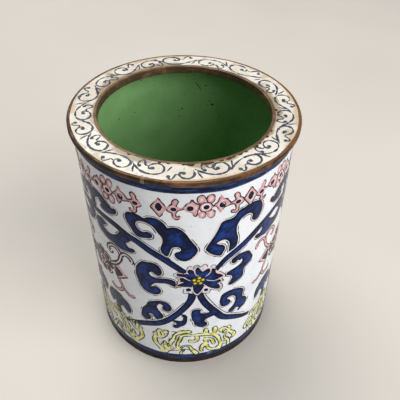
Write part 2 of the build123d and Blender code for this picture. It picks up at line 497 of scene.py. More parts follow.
SMALL_RIGHT_LEAF = [
    (2.5, 37.7), (3, 38.4), (4.4, 38.6), (5.7, 38.25), (6, 37.4), (5.7, 36.4), (6.6, 35.6),
    (8.2, 35.4), (9.8, 35.6), (11.2, 35.4), (12.4, 33.9), (12.8, 32.9), (11.2, 32.4),
    (9.2, 31.8), (7.9, 30.9), (7.7, 29.9), (8.6, 28.4), (8.6, 27), (7.5, 26), (5.7, 26.3),
    (4.3, 27.4), (3.4, 28.8), (3.2, 30.6), (2.6, 31.6), (2.3, 33.8), (2.2, 35.9),
]
# The leaf under the upper stem and the one at the end of the lower stem, left side; the
# right side has them turned over and set higher.
OUTER_LEAF = [
    (-23.1, 74.5), (-23.9, 73.4), (-24.9, 72), (-26.5, 70.75), (-28.1, 70.1), (-29.9, 70.2),
    (-31.2, 70.9), (-31.5, 72), (-30.6, 72.7), (-29.6, 73.4), (-29.75, 74.1), (-31.4, 74.7),
    (-33.5, 74.9), (-35.1, 74.1), (-35.8, 72.4), (-35.6, 70.6), (-34.6, 68.8), (-32.8, 67.4),
    (-30.3, 66.5), (-27.8, 66.1), (-25.6, 65.4), (-23.5, 65), (-21.4, 65.4), (-19.2, 65.75),
    (-17.8, 66.8), (-17.8, 67.9), (-18.7, 68.25), (-19.9, 68), (-20.8, 68.8), (-21, 69.9),
    (-20.1, 70.6), (-19.4, 71.5), (-18.9, 72.5),
]
RIGHT_RISE = 2.0                 # how much higher the right-hand leaves are set
END_LEAF = [
    (-30.8, 21.9), (-28.3, 22.7), (-28.5, 24.6), (-28.7, 26.5), (-27.9, 28.1), (-26.6, 28.5),
    (-25.6, 27.5), (-24.5, 26.5), (-23.3, 26.7), (-22.7, 28.5), (-22.9, 30.8), (-23.7, 32.7),
    (-25, 33.8), (-26.4, 34.6), (-27.5, 35.6), (-29.5, 36), (-31.8, 35.8), (-33.7, 35),
    (-35, 33.5), (-35.6, 31.5), (-35.4, 29.6), (-34.5, 27.7), (-33.3, 26.7), (-32.3, 27.7),
    (-31.8, 28.8), (-31.2, 28.1), (-31.2, 26.2), (-31.4, 23.8),
]
# Half of the cloud on top of the arch between two panels, from its middle line outwards.
CLOUD_HALF = [
    (0, 87.6), (2.1, 87.5), (4.6, 87.2), (6.4, 86.6), (8.2, 85.4), (9.5, 84.3), (10.4, 83.6),
    (11.4, 84.1), (12.3, 83.8), (12.5, 82.7), (11.6, 81.5), (10.2, 80.6), (8.2, 80),
    (6.1, 79.9), (4.6, 80.4), (4.3, 81.5), (5, 82.3), (4.5, 83.4), (3.6, 84), (2.5, 83.6),
    (1.7, 82.6), (1.4, 81.3), (1.6, 79.8), (1.4, 78.6), (0.9, 78.0),
]
# Middle lines of the stems from the lotus outwards, with the widths along them.
STEMS = [
    ([(0.2, 60.3), (-1.5, 62), (-5, 65.2), (-8, 67.6), (-12, 70), (-16, 72.6), (-20, 74.1),
      (-25, 76.3), (-30, 77), (-36, 77.3)], [2.5, 3.1, 3.1, 2.9, 2.5]),
    ([(10.6, 60.2), (11.8, 61.8), (14.5, 65), (18, 67.4), (21.5, 69.5), (25, 71.8), (28.5, 73.9),
      (32.5, 75.6), (37, 77), (41, 77.6), (44.4, 77.5)], [2.1, 3.0, 3.3, 2.7, 2.4]),
    ([(2.6, 48.8), (2.2, 45.4), (1, 42.3), (-0.9, 39), (-3.2, 35.6), (-6.5, 31.4),
      (-10.4, 28), (-15, 25.7), (-20, 23.1), (-24, 21.2), (-26, 20.9)], [3.1, 2.9, 3.4, 2.6]),
    ([(5.2, 48.4), (6.2, 44.8), (7.8, 41.2), (9.8, 37.8), (12.2, 33.9), (15, 29.8),
      (20, 26.4), (25, 23.2), (29, 21.4)], [2.7, 3.1, 3.2, 2.1]),
]
# The contour drawn beside each stem, on its upper or outer side.
CONTOURS = [
    [(0.2, 61.8), (-3.3, 65.7), (-6.8, 69), (-10.9, 71.9), (-14.9, 74.4), (-19, 76.4)],
    [(12.8, 60.7), (16.3, 63.9), (19.8, 66), (22.9, 67.9)],
    [(-0.3, 43.5), (-2.7, 40), (-5, 36.4), (-8.1, 32.8), (-11.6, 29.9), (-15.9, 27.9)],
    [(7, 48.4), (8.4, 45.1), (10.2, 41.6), (12.1, 38.1), (14.3, 34.6), (17, 31.2),
     (21.3, 28.1), (26.3, 24.8)],
]
LEAVES = [
    UPPER_LEFT_SCROLL, UPPER_RIGHT_SCROLL, LEFT_LEAF, RIGHT_LEAF, LOWER_LEFT_LEAF,
    LOWER_RIGHT_LEAF, SMALL_LEFT_LEAF, SMALL_RIGHT_LEAF,
]

# ---- what is painted: the lotus ----------------------------------------------------------
LOTUS_STAR = [                   # the whole flower; white lines part it into petals
    (0.6, 60.3), (0.9, 61.9), (1.8, 62.3), (2.7, 61.7), (3.3, 60.9), (3.6, 62.5), (4.3, 63.3),
    (4.9, 62.7), (5.5, 61.3), (6.3, 60.9), (7.5, 61.7), (8.4, 61.8), (8.8, 60.8), (9.6, 61.6),
    (10.6, 60.7), (10.8, 59.1), (11.5, 58.1), (12.6, 57.4), (13.7, 56.3), (13.3, 55.6),
    (12, 55.1), (12.9, 54), (13, 53.2), (12.2, 52.5), (12.5, 51.2), (12.9, 49.9),
    (12.4, 49.1), (11, 49.5), (9.2, 50.6), (7.9, 51.9), (6.8, 52.4), (6.3, 51.2),
    (5.8, 49.9), (5.1, 48.8), (4.3, 48.2), (3.5, 49), (2.9, 50.3), (2.6, 52), (1.2, 52.6),
    (-0.6, 52.75), (-2.5, 52.9), (-3.1, 53.2), (-1.9, 54.4), (-0.8, 55.2), (-2.2, 55.1),
    (-1.8, 56.2), (-2, 57.5), (-1, 57.9), (0, 57.7), (-1.65, 58.7), (-2.8, 58.9),
    (-2.8, 60.2), (-0.6, 59.9),
]
LOTUS_SMALL = [                  # two small dark petals beside the lower stems
    [(0.2, 50.9), (0.5, 51.7), (1.4, 51.9), (2.1, 51.2), (1.9, 50.3), (1.1, 50), (0.4, 50.2)],
    [(6.7, 50.3), (7.3, 50.9), (8.2, 50.5), (8.3, 49.6), (7.6, 49.1), (6.9, 49.5)],
]
LOTUS_EDGES = [                  # white lines between and round the petals
    [(3.2, 62.4), (3.3, 60.8), (3.6, 59.6), (4.2, 58.8), (4.9, 58.3)],
    [(9.2, 62.4), (8.95, 61), (8.9, 60), (8.4, 59.1), (7.7, 58.3), (6.9, 57.9)],
    [(7.4, 56), (8.2, 55.4), (9.3, 54.9), (10.5, 54.6), (12, 54.8), (13.4, 55.2)],
    [(6.5, 53.6), (7.2, 52.6), (8.3, 51.3), (9.4, 50.4), (10.8, 49.5)],
    [(2.5, 53.1), (2.45, 51.6), (2.8, 50), (3.5, 48.5), (4.3, 47.7), (5.2, 48.6), (6, 50),
     (6.6, 51.7)],
    [(2, 56.2), (0.8, 56.9), (-0.3, 57.9), (-1.6, 58.4)],
    [(0.5, 61.2), (0.8, 60.3), (1.2, 59.8)],
    [(-0.6, 55.35), (-1.7, 55.35), (-2.6, 55.2)],
    [(5.5, 62.2), (5.8, 61.4), (6.2, 60.7)],
    [(11.7, 52.5), (12.8, 51.5), (13.3, 50.1), (13.2, 48.8)],
    [(1.5, 52.3), (0.2, 52.3), (-1.6, 52.4)],
    [(-0.2, 51.6), (-0.4, 50.2), (0.4, 49.5), (1.6, 49.4), (2.4, 49.9)],
    [(6.3, 49.5), (7.2, 48.6), (8.3, 48.7), (8.8, 49.8)],
]
LOTUS_TIPS = [                   # petal tips left pale
    [(5.8, 62.4), (6, 63.5), (6.9, 64.1), (7.4, 63.3), (7.5, 62.2), (6.7, 61.7)],
    [(1, 62.3), (1.2, 63.3), (1.8, 63.7), (2.6, 63), (2.8, 62), (1.9, 62.5)],
    [(9, 61.8), (9.3, 62.8), (9.9, 62.9), (10.5, 62), (9.8, 61.8)],
    [(11.2, 58.9), (12, 58.2), (13.2, 57.3), (14.1, 56), (13.8, 57.3), (12.6, 58.6)],
]
LOTUS_LINES = [                  # thin dark contours outside the petals
    [(2.9, 62.3), (3, 63.9), (3.6, 64.4), (4.4, 64.4), (5, 63.6), (5.5, 63.4), (6, 64.1),
     (6.8, 64.5), (7.4, 64.1), (7.8, 62.7)],
    [(0.5, 62), (0.8, 63.4), (1.6, 64.1), (2.5, 63.6)],
    [(8.7, 62.3), (9.2, 63.2), (10.1, 63.3), (10.9, 62.3), (11.5, 61.2), (11.8, 59.8)],
    [(11.8, 59.4), (13, 58.3), (14.1, 57), (14.8, 55.6), (14.1, 54.9)],
    [(13.4, 54.6), (13.9, 53.8), (14.1, 52.7)],
    [(13, 52.2), (13.7, 50.9), (13.8, 49.3), (13.1, 47.7), (12.5, 47.4), (12, 48.4)],
    [(-3.3, 57), (-3.1, 57.9), (-2.2, 58.5), (-0.9, 58.6)],
    [(-3.6, 54.9), (-3, 54.1), (-3.9, 52.6), (-3.6, 51.8), (-2.6, 52.3), (-0.5, 52.3)],
    [(-0.4, 51.7), (-0.8, 50.2), (-0.6, 49), (0.3, 48.9), (1.5, 49.2)],
    [(6, 48.3), (7.3, 48.1), (8.5, 47.8), (9.1, 48.6), (9.3, 49.6)],
    [(3.4, 48), (4.3, 47.1), (5.3, 47.9)],
]
LOTUS_LOOP = [(-3.9, 59.9), (-3.2, 60.3), (-2.7, 59.7), (-3, 58.8), (-3.8, 58.6),
              (-4.1, 59.2)]
LOTUS_HEART = (4.5, 55.9)
LOTUS_SEEDS = [(3.1, 56.5), (4.9, 57.5), (4.65, 55.9), (6.2, 56.3), (3.4, 54.7), (5.4, 54.5)]

# ---- what is painted: the yellow scrollwork ----------------------------------------------
# The front bunch. Bands: middle line, then the widths along it. Bands and patches run into
# each other, with one contour round them all.
YELLOW_BANDS = [
    ([(-12.2, 19), (-12.6, 16.6), (-12.7, 14.8), (-12.2, 13), (-11.2, 11.4), (-10.2, 9.6),
      (-9.7, 7)], [1.4, 1.9, 2.1, 1.9, 1.9, 1.6, 1.3]),
    ([(1.6, 23.6), (0, 23.7), (-1.8, 23.2), (-3.3, 22.1), (-4.3, 20.6), (-4.6, 19),
      (-5.2, 17.2), (-5.9, 15.4), (-6.2, 13.4), (-5.9, 11.6)],
     [1.8, 2.3, 2.1, 1.6, 1.3, 1.5, 2.1, 1.7, 1.2, 0.8]),
    ([(3.2, 20.9), (1.5, 21.2), (-0.4, 21.2), (-1.6, 20.3), (-2, 18.8), (-2.4, 17.2),
      (-3, 15.4), (-3.2, 13.8), (-3.2, 11.6)], [1, 1.5, 1.5, 1.5, 1.5, 1.5, 1.2, 1.2, 1.2]),
    ([(-2.1, 10.4), (-1.7, 11.6), (-1, 12.8), (0.1, 13.2), (1.2, 13.1), (2, 12.2), (2.4, 11),
      (3, 9.6), (3.8, 8.4), (4.6, 7)], [0.8, 0.8, 0.9, 1, 1.1, 1.3, 1.6, 2, 2.2, 2.2]),
    ([(-1.9, 7), (-1.6, 8.4), (-0.7, 9.7)], [1.2, 1, 0.7]),
    ([(3.2, 20.8), (4.8, 21), (6.4, 20.8), (8.2, 20.3), (10, 19.7), (11.6, 18.7),
      (12.9, 17.3), (13.8, 15.6), (14.3, 13.8), (14.8, 11.8), (15.2, 10), (15, 8.4),
      (14.4, 7)], [1, 1.9, 2, 1.6, 1.4, 1.6, 1.9, 1.9, 1.5, 1.4, 1.6, 2, 2.4]),
    ([(8.3, 24), (8.3, 22.6), (8.5, 20.8)], [1.6, 2.1, 1.7]),
    ([(12, 23.7), (12.2, 22), (12, 20.4), (12, 18.6)], [1.8, 2.3, 1.3, 1.2]),
    ([(8, 17.5), (8.3, 16), (8.7, 14.8), (8.6, 13.4)], [1.4, 1.6, 1.3, 1.8]),
    ([(8, 17.3), (9.2, 16.9), (10.4, 16.1), (11.2, 14.9), (11.6, 13.4), (12, 12)],
     [1.3, 1.5, 1.3, 1.5, 1.6, 1.4]),
    ([(8.4, 14), (7.4, 12.6), (6.8, 11), (6.6, 9.4), (6.9, 8.5)], [1.4, 2.2, 1.8, 1.6, 1.2]),
    ([(8.3, 13.4), (8.9, 11.8), (9.4, 10), (10.2, 8.6), (11.4, 7.7), (13, 7.5), (14.6, 8)],
     [1.5, 1.4, 1.4, 1.5, 1.7, 1.8, 1.6]),
    ([(18.2, 18.2), (19, 17), (19.9, 15.6), (20.9, 14.2), (21.5, 12.8), (21.2, 11.5),
      (20.3, 11.2)], [1.6, 1.5, 1.6, 2, 2, 1.8, 1]),
    ([(17.8, 17), (17, 15.6), (16.8, 14.2), (17.2, 12.8), (18, 11.8), (18.6, 10.6),
      (18.9, 9), (18.8, 7)], [0.8, 0.9, 1, 1.1, 1.3, 1.4, 1.5, 1.5]),
    ([(15.4, 10.6), (16.5, 10.9), (17.8, 10.9)], [1, 0.9, 0.8]),
]
YELLOW_PATCHES = [
    [(-12.4, 21.1), (-11.5, 22.7), (-11, 23.7), (-10, 23.8), (-9.1, 23.4), (-8.1, 23.7),
     (-7, 23.8), (-6.8, 22.5), (-7, 20.8), (-7.5, 19.6), (-8.3, 18.5), (-9.2, 17.6),
     (-10.2, 17.1), (-11.2, 17), (-12, 18), (-12.7, 18.8), (-13.2, 19.7), (-13.1, 20.5)],
    [(-10.6, 8.6), (-10.2, 10.4), (-10, 12.6), (-9.3, 14.4), (-8.5, 15.8), (-7.9, 15),
     (-7.4, 13.6), (-6.9, 15), (-6.4, 15.6), (-6, 14), (-5.6, 12), (-5, 11.2), (-3.8, 11.4),
     (-2.8, 12.6), (-2.2, 11), (-2.6, 9.8), (-4.4, 9.5), (-6, 9.1), (-7, 8), (-7.6, 6.8),
     (-10.2, 6.8)],
    [(13.9, 21.2), (14.4, 21.9), (15.5, 22.1), (16.8, 21.7), (17.4, 21.2), (18.1, 21.6),
     (19, 21.1), (19.6, 19.8), (19.3, 18.7), (18.8, 17.8), (17.8, 17.6), (16.6, 17.4),
     (15.9, 17.2), (15.6, 18.4), (14.9, 18.9), (14.1, 19.6)],
]
YELLOW_HOOK = ([(4.4, 20.3), (4.8, 19.2), (4.8, 17.8), (4.1, 16.7), (3, 16.3), (2, 16.6),
                (1.8, 17.3)], [1.3, 1.6, 1.8, 2, 1.9, 1.6, 1])
HOOK_BEND = [(4.95, 18.6), (4.7, 17.5), (4, 16.7), (3.1, 16.35)]
# White streaks left in the patches.
BARE_STREAKS = [
    [(-7.6, 22), (-7.6, 21.2), (-7.9, 20.5), (-8.3, 19.9)],
    [(-12.4, 20.8), (-12, 19.7), (-12, 18.7)],
    [(-10.4, 22.9), (-10.9, 22), (-10.8, 21.2)], [(-10.2, 18.3), (-9.6, 18.7), (-9.1, 19.5)],
    [(-8.4, 11.4), (-7.9, 10.2), (-7.8, 8.8)], [(-6.4, 11), (-5, 10.7), (-3.8, 11)],
    [(16.2, 20.9), (17, 20.6), (17.4, 19.8)], [(18.2, 20.4), (18.8, 19.8), (18.7, 19)],
]
# Strong yellow streaks in the pale bands.
GOLD_STREAKS = [
    [(-11.1, 19.6), (-11.2, 18.7), (-11.6, 17.8)], [(-9.6, 22.8), (-8.9, 22.2), (-8.8, 21.2)],
    [(-12.8, 16.6), (-12.9, 15.2), (-12.4, 13.8)], [(-7.8, 14.4), (-7.9, 13.2), (-7.3, 12)],
    [(-5.8, 14), (-5.7, 13), (-5.9, 12)], [(-2, 19.4), (-2.2, 17.8), (-2.8, 15.8)],
    [(-1.8, 23.9), (-0.4, 24), (1, 23.6)], [(2.6, 10.8), (3, 9.6), (3.2, 8.8)],
    [(8.2, 23.4), (8.2, 22.4), (8.5, 21.2)], [(11.7, 22.6), (12.1, 21), (12, 19.4)],
    [(11.1, 15.2), (11.5, 14), (12, 12.4)], [(6.8, 11.6), (6.6, 10.2), (6.8, 9)],
    [(8.9, 12.6), (9.2, 11), (9.7, 9.6)], [(8.3, 16.6), (8.5, 15.4), (8.6, 14.2)],
    [(14.3, 13.4), (14.7, 12), (15, 10.4)], [(9.8, 20), (11, 19.2), (12, 18)],
    [(15.2, 21), (15.9, 20.2), (16, 19)], [(20.4, 15), (21, 13.8), (21.1, 12.8)],
]
# Contours inside the patches, and short strokes beside the bands.
OLIVE_LINES = [
    [(-7.8, 22.1), (-7.2, 21.2), (-7.3, 20.2), (-8, 19.2), (-8.7, 18)],
    [(-9.4, 23.3), (-9, 22.6), (-8.4, 22.5)], [(-8.5, 21.5), (-8.3, 20.6), (-8.8, 19.8)],
    [(-12.3, 21.6), (-11.6, 21.2), (-11.5, 20.2), (-11.7, 19.2), (-11.2, 18.3)],
    [(-9.9, 22.4), (-10.1, 21.4), (-9.7, 20.3), (-9.9, 19.2)],
    [(-11.6, 17.2), (-11.7, 15.8), (-11.6, 14.4), (-11.1, 13.2)],
    [(-8.8, 15.3), (-9.2, 14.1), (-8.8, 13), (-9.2, 11.8)],
    [(-8.3, 15.6), (-7.7, 14.2), (-7.4, 12.9), (-7, 11.3)],
    [(-6.5, 15.2), (-6.8, 13.9), (-6.4, 12.5), (-5.8, 11.3)],
    [(-5.6, 23.4), (-4.7, 23.6), (-3.7, 23.3)], [(-6.5, 18.3), (-6.7, 16.8), (-7, 15.7)],
    [(-9.8, 11.6), (-8.8, 10.4), (-8.4, 9)], [(-6.6, 10.4), (-5.4, 10.2), (-4.2, 10.6)],
    [(-1.3, 10.3), (-0.2, 10.6), (1, 10.5), (1.9, 10.2)], [(2.3, 10), (2.5, 8.8), (3, 7.6)],
    [(14.9, 18.9), (15.8, 18.5), (15.4, 19.6), (15.8, 20.2)],
    [(15.9, 20), (16.4, 18.8), (15.9, 17.6)], [(16.5, 20.3), (17.2, 19), (17.8, 18)],
    [(17.5, 20.9), (18, 19.8), (18.8, 19)], [(18.3, 13.4), (18.8, 12.4), (19.4, 11)],
    [(20.1, 12), (20.3, 11.4), (20.1, 10.7)], [(16, 9.2), (16.8, 8.9), (17.5, 8.6)],
    [(12.8, 8.9), (13.8, 9.2), (14.6, 9.9)],
]
CLUSTER_U = 4.5                  # a bunch is turned over about this line

# ---- what is painted: the pink flowers ---------------------------------------------------
# Petals stand round the flower's middle; the leaves and tendrils are drawn for its right
# side, as distances from its middle line, and turned over for the left.
FLOWER_Z = 51
FLOWER_RISES = [2.2, 1, 0]       # each flower was set at its own height, the third at FLOWER_Z
FLOWER_REACH = 4.6               # from the middle of the flower to the middle of a petal
PINK_LEAF = [(7.3, 50.2), (7.6, 52.6), (8.6, 54.1), (9.6, 54.3), (11.2, 52.5), (13.9, 50.3),
             (13.9, 50.3), (11.8, 48.7), (10, 47.2), (8.9, 46.6), (7.6, 47.8)]
PINK_LEAF_EYE = [(7.6, 50.4), (8, 52.9), (9.3, 52.7), (11.8, 50.4), (9.9, 48.2), (8.5, 47.2),
                 (7.5, 48.4)]
TENDRILS = [
    [(5.6, 53), (7, 53.9), (8.5, 54.9), (10.2, 57), (11.2, 59.2), (11.8, 61.4)],
    [(11.6, 61.4), (10.9, 63.2), (9.2, 64.5), (7, 63.8), (5.5, 62), (5.6, 60.3), (6.7, 60.1),
     (7.3, 61.4)],
    [(11.7, 61), (13, 62.7), (14.7, 63), (16.1, 62), (16.6, 60.6), (15.9, 59.9)],
    [(8.6, 47.2), (9.5, 44.8), (10.3, 43), (10.6, 41.4)],
    [(10.6, 42), (9.6, 40), (7.6, 38.8), (5.6, 38.9), (4.8, 39.8), (5.4, 40.8)],
    [(10.6, 42), (12, 40.4), (13.6, 39.3), (15.1, 39.3), (15.8, 40.4)],
]

# ---- what is painted: the pink chain under the upper border -------------------------------
# Links drawn about their own middle: diamond, two-armed curl, shield, flower, spindle.
CHAIN_Z = 91.3
CHAIN_START = -8.1               # the first diamond, right of the gap in the chain
CHAIN_GAP = 3.0                  # where the painter's chain ends short of its start
CHAIN_GROUPS = 8
CHAIN_GROUP = [("diamond", 0), ("curl", 4.5), ("shield", 10), ("flower", 14.7),
               ("spindle", 19.7), ("turned curl", 25.4)]
CHAIN_GROUP_LENGTH = 30.1
LINKS = {
    "diamond": [(-0.1, 3.6), (-0.1, 3.6), (2.6, -0.3), (2.6, -0.3), (0.2, -4.5), (0.2, -4.5),
                (-2.6, -0.4), (-2.6, -0.4)],
    "curl": [(-2.2, -0.6), (-1.5, 0.7), (-0.6, 1.4), (-0.4, 2.5), (0.2, 3.4), (0.8, 3.7),
             (1.5, 2.9), (1.3, 1.8), (0.9, 0.9), (1.7, 0.3), (3, 0.1), (3, -0.5), (1.6, -0.9),
             (0.9, -1.7), (0.7, -2.7), (0.8, -3.5), (1.3, -3.7), (1.8, -3.2), (2.3, -3.5),
             (2, -4.3), (1, -4.8), (0.1, -4.6), (-0.4, -3.7), (-0.4, -2.6), (-0.7, -1.9),
             (-1.6, -1.6)],
    "shield": [(-2.8, 0), (-1.9, 0.9), (-1.3, 1.9), (-0.2, 2.4), (0.3, 3.3), (0.9, 2.4),
               (1.9, 1.5), (2.6, 1.1), (2.4, 0), (2.1, -1.2), (1.9, -2.6), (1.4, -3.6),
               (0.7, -2.9), (0.1, -2), (-1, -1.6), (-1.8, -0.9)],
    "flower": [(0, 2), (1.4, 1.5), (2, 0.4), (2.7, 0.1), (1.9, -0.6), (1.3, -1.5), (0, -1.9),
               (-1.4, -1.5), (-2.1, 0), (-1.4, 1.5)],
    "spindle": [(-2.6, 0.3), (-1.5, 1.3), (-0.9, 3), (-0.4, 4), (0.3, 2.9), (0.8, 2.2),
                (1.6, 1.8), (2.6, 0.4), (3.4, -0.7), (2, -1.2), (0.9, -1.5), (0.1, -2.6),
                (-0.4, -3.4), (-1, -2.4), (-1.4, -1), (-2.1, -0.3)],
}
LINKS["turned curl"] = [(-u, z) for u, z in LINKS["curl"]]
DIAMOND_EYE = [(0, 1.9), (1.35, 0), (0.1, -2.1), (-1.35, -0.2)]
FLOWER_LINK_PETALS = [(-1.5, 3.3, 1.35, 1.7), (1.4, 3.2, 1.3, 1.75), (-1.2, -3.1, 1.3, 1.5),
                      (1.6, -3.1, 1.35, 1.8)]

# ---- what is painted: the scroll round the rim -------------------------------------------
# Middles of the arches, in degrees from the front line; between two of them the scroll dips.
ARCHES = [16, 49.5, 82, 117, 163, 203, 239, 276, 308, 343.5]
DIPS = [(33.5, 0.8), (66, 0.85), (98.5, 1.15), (141, 1.3), (186, 1.3), (221, 1.3), (257, 1.35),
        (291, 1.2), (326, 0.85), (359, 1)]         # each with its depth, as the brush left it
ARCH = [(-11, -1.4), (-8, 0.2), (-4, 1.7), (-0.5, 2.2), (3, 1.9), (5.4, 0.8), (5.9, -0.7),
        (5.1, -2), (3.4, -2.8), (1.4, -2.9), (-0.5, -2.4), (-1.7, -1.4), (-1.6, -0.5),
        (-0.7, -0.1), (0.3, -0.5)]
SIDE_CURL = [(-2.2, -1.4), (-3.6, -1.3), (-4.5, -2.3), (-5.6, -3.2), (-7, -2.9), (-7.5, -1.8),
             (-7.1, -0.7), (-6.2, -0.4)]
DIP_CURL = [(-2.2, -1.4), (-3.6, -1.2), (-4.2, -2.2), (-5.2, -3.3), (-6.4, -3.3), (-7, -2.3)]
ARCH_TICK = [(7.5, 0), (8.4, -1.3), (9.3, -2.4)]
DIP_TICK = [(7.5, 0), (8.4, -1.6), (9.4, -3)]
WORN_DIP = 359                   # most of this dip is worn away
ARCH_HALF = 8.3                  # half the width the curves above are drawn for


# ---- finishes ---------------------------------------------------------------------------
def srgb(r, g, b):
    """Linear colour of an 8-bit screen colour."""
    linear = [((v / 255 + 0.055) / 1.055) ** 2.4 for v in (r, g, b)]
    return (*linear, 1.0)


class Finish:
    """A procedural material; the lengths in it are millimetres on the cup."""

    def __init__(self, name):
        """A new material, with the place on the cup ready in millimetres."""
        self.material = bpy.data.materials.new(name)
        self.material.use_nodes = True
        self.tree = self.material.node_tree
        self.shader = next(n for n in self.tree.nodes if n.type == "BSDF_PRINCIPLED")
        where = self.node("ShaderNodeTexCoord")
        scaled = self.node("ShaderNodeVectorMath", operation="SCALE")
        self.tree.links.new(where.outputs["Object"], scaled.inputs[0])
        scaled.inputs["Scale"].default_value = 1 / MM
        self.place = scaled.outputs[0]
        self.xyz = self.node("ShaderNodeSeparateXYZ")
        self.tree.links.new(self.place, self.xyz.inputs[0])

    def node(self, kind, **settings):
        """A new node with these settings."""
        made = self.tree.nodes.new(kind)
        for key, value in settings.items():
            setattr(made, key, value)
        return made

    def put(self, value, socket):
        """Wires a node's output into a socket, or sets the socket to a plain value."""
        if isinstance(value, bpy.types.NodeSocket):
            self.tree.links.new(value, socket)
        else:
            socket.default_value = value

    def math(self, operation, a, b=0.0, clamp=False):
        """One step of arithmetic."""
        made = self.node("ShaderNodeMath", operation=operation, use_clamp=clamp)
        self.put(a, made.inputs[0])
        self.put(b, made.inputs[1])
        return made.outputs[0]

    def radius(self):
        """Distance from the cup's axis."""
        x, y = self.xyz.outputs[0], self.xyz.outputs[1]
        return self.math("SQRT", self.math("ADD", self.math("MULTIPLY", x, x),
                                           self.math("MULTIPLY", y, y)))

    def along(self, stretch):
        """A place whose first number runs round the cup, slowed down so that noise smears."""
        backward = self.math("MULTIPLY", self.xyz.outputs[1], -1.0)
        angle = self.math("ARCTAN2", self.xyz.outputs[0], backward)
        made = self.node("ShaderNodeCombineXYZ")
        self.put(self.math("MULTIPLY", angle, WALL_R / stretch), made.inputs[0])
        self.put(self.xyz.outputs[2], made.inputs[1])
        self.put(self.radius(), made.inputs[2])
        return made.outputs[0]

    def shifted(self, place, x, y, z):
        """A place moved by a fixed amount, so that two uses of one noise don't match."""
        made = self.node("ShaderNodeVectorMath", operation="ADD")
        self.put(place, made.inputs[0])
        made.inputs[1].default_value = (x, y, z)
        return made.outputs[0]

    def clouds(self, size, detail=3.0, rough=0.5, shift=0.0, twist=0.0, place=None):
        """Noise around 0.5 with lumps of about the given size."""
        place = self.shifted(place or self.place, shift, 1.7 * shift, 0.6 * shift)
        made = self.node("ShaderNodeTexNoise")
        self.put(place, made.inputs["Vector"])
        made.inputs["Scale"].default_value = 1 / size
        made.inputs["Detail"].default_value = detail
        made.inputs["Roughness"].default_value = rough
        made.inputs["Distortion"].default_value = twist
        return made.outputs["Fac"]

    def cells(self, size, shift=0.0):
        """Distance to the nearest of scattered points, in cells."""
        place = self.shifted(self.place, shift, 1.3 * shift, 0.4 * shift)
        made = self.node("ShaderNodeTexVoronoi")
        self.put(place, made.inputs["Vector"])
        made.inputs["Scale"].default_value = 1 / size
        return made.outputs["Distance"]

    def ease(self, value, low, high, start=0.0, end=1.0):
        """Goes smoothly from start to end while the value goes from low to high."""
        made = self.node("ShaderNodeMapRange", interpolation_type="SMOOTHSTEP")
        sockets = ("Value", "From Min", "From Max", "To Min", "To Max")
        for socket, amount in zip(sockets, (value, low, high, start, end)):
            self.put(amount, made.inputs[socket])
        return made.outputs["Result"]

    def mix(self, share, a, b):
        """Colour a, with a share of colour b."""
        made = self.node("ShaderNodeMix", data_type="RGBA")
        for socket, value in ((0, share), (6, a), (7, b)):       # the node's colour sockets
            self.put(value, made.inputs[socket])
        return made.outputs[2]

    def edge(self):
        """Distance from the outline of the paint, in millimetres."""
        return self.node("ShaderNodeAttribute", attribute_name="edge_mm").outputs["Fac"]

    def bump(self, height, depth, below=None):
        """Raises the surface by height (0 to 1) times depth."""
        made = self.node("ShaderNodeBump")
        made.inputs["Strength"].default_value = 1.0
        made.inputs["Distance"].default_value = depth * MM
        self.put(height, made.inputs["Height"])
        if below is not None:
            self.put(below, made.inputs["Normal"])
        return made.outputs["Normal"]

    def done(self, colour, roughness, normal, metal=0.0, shine=0.5):
        """Wires the results into the shader and gives the material."""
        sockets = ("Base Color", "Roughness", "Normal", "Metallic", "Specular IOR Level")
        for socket, value in zip(sockets, (colour, roughness, normal, metal, shine)):
            self.put(value, self.shader.inputs[socket])
        return self.material


def glaze_normal(f, shift):
    """Gently rolling glaze with pin holes."""
    rolling = f.bump(f.clouds(5.5, 2, 0.4, shift), depth=0.05)
    holes = f.ease(f.cells(2.3, shift), 0.03, 0.12)
    return f.bump(holes, depth=0.02, below=rolling)


def enamel(name, pale, grey, stain, stained, shift=0.0, rims=(), specks=0.735):
    """Light opaque enamel: cloudy, stained in places and along the rims, with kiln specks."""
    f = Finish(name)
    base = f.mix(f.ease(f.clouds(9, 4, 0.55, shift), 0.35, 0.68), pale, grey)
    patch = f.ease(f.clouds(7, 5, 0.6, shift + 31), stained, stained + 0.14)
    base = f.mix(f.math("MULTIPLY", patch, 0.55), base, stain)
    for radius, reach, widest, tint in rims:
        away = f.math("ABSOLUTE", f.math("SUBTRACT", f.radius(), radius))
        ragged = f.math("ADD", away, f.math("MULTIPLY", f.clouds(1.6, 4, 0.7, shift + 3), 2.0))
        spread = f.ease(f.clouds(13, 2, 0.5, shift + radius), 0.42, 0.62, -0.3, widest)
        ragged = f.math("SUBTRACT", ragged, spread)
        grime = f.ease(ragged, 0.5 * reach, 0.9 + reach, 0.8, 0.0)
        base = f.mix(grime, base, tint)
    dirt = f.ease(f.clouds(0.8, 2, 0.4, shift + 5), specks, specks + 0.03)
    base = f.mix(f.math("MULTIPLY", dirt, 0.7), base, srgb(92, 76, 60))
    gloss = f.ease(f.clouds(3.5, 4, 0.6, shift + 11), 0.3, 0.75, 0.13, 0.3)
    return f.done(base, gloss, glaze_normal(f, shift), shine=0.4)


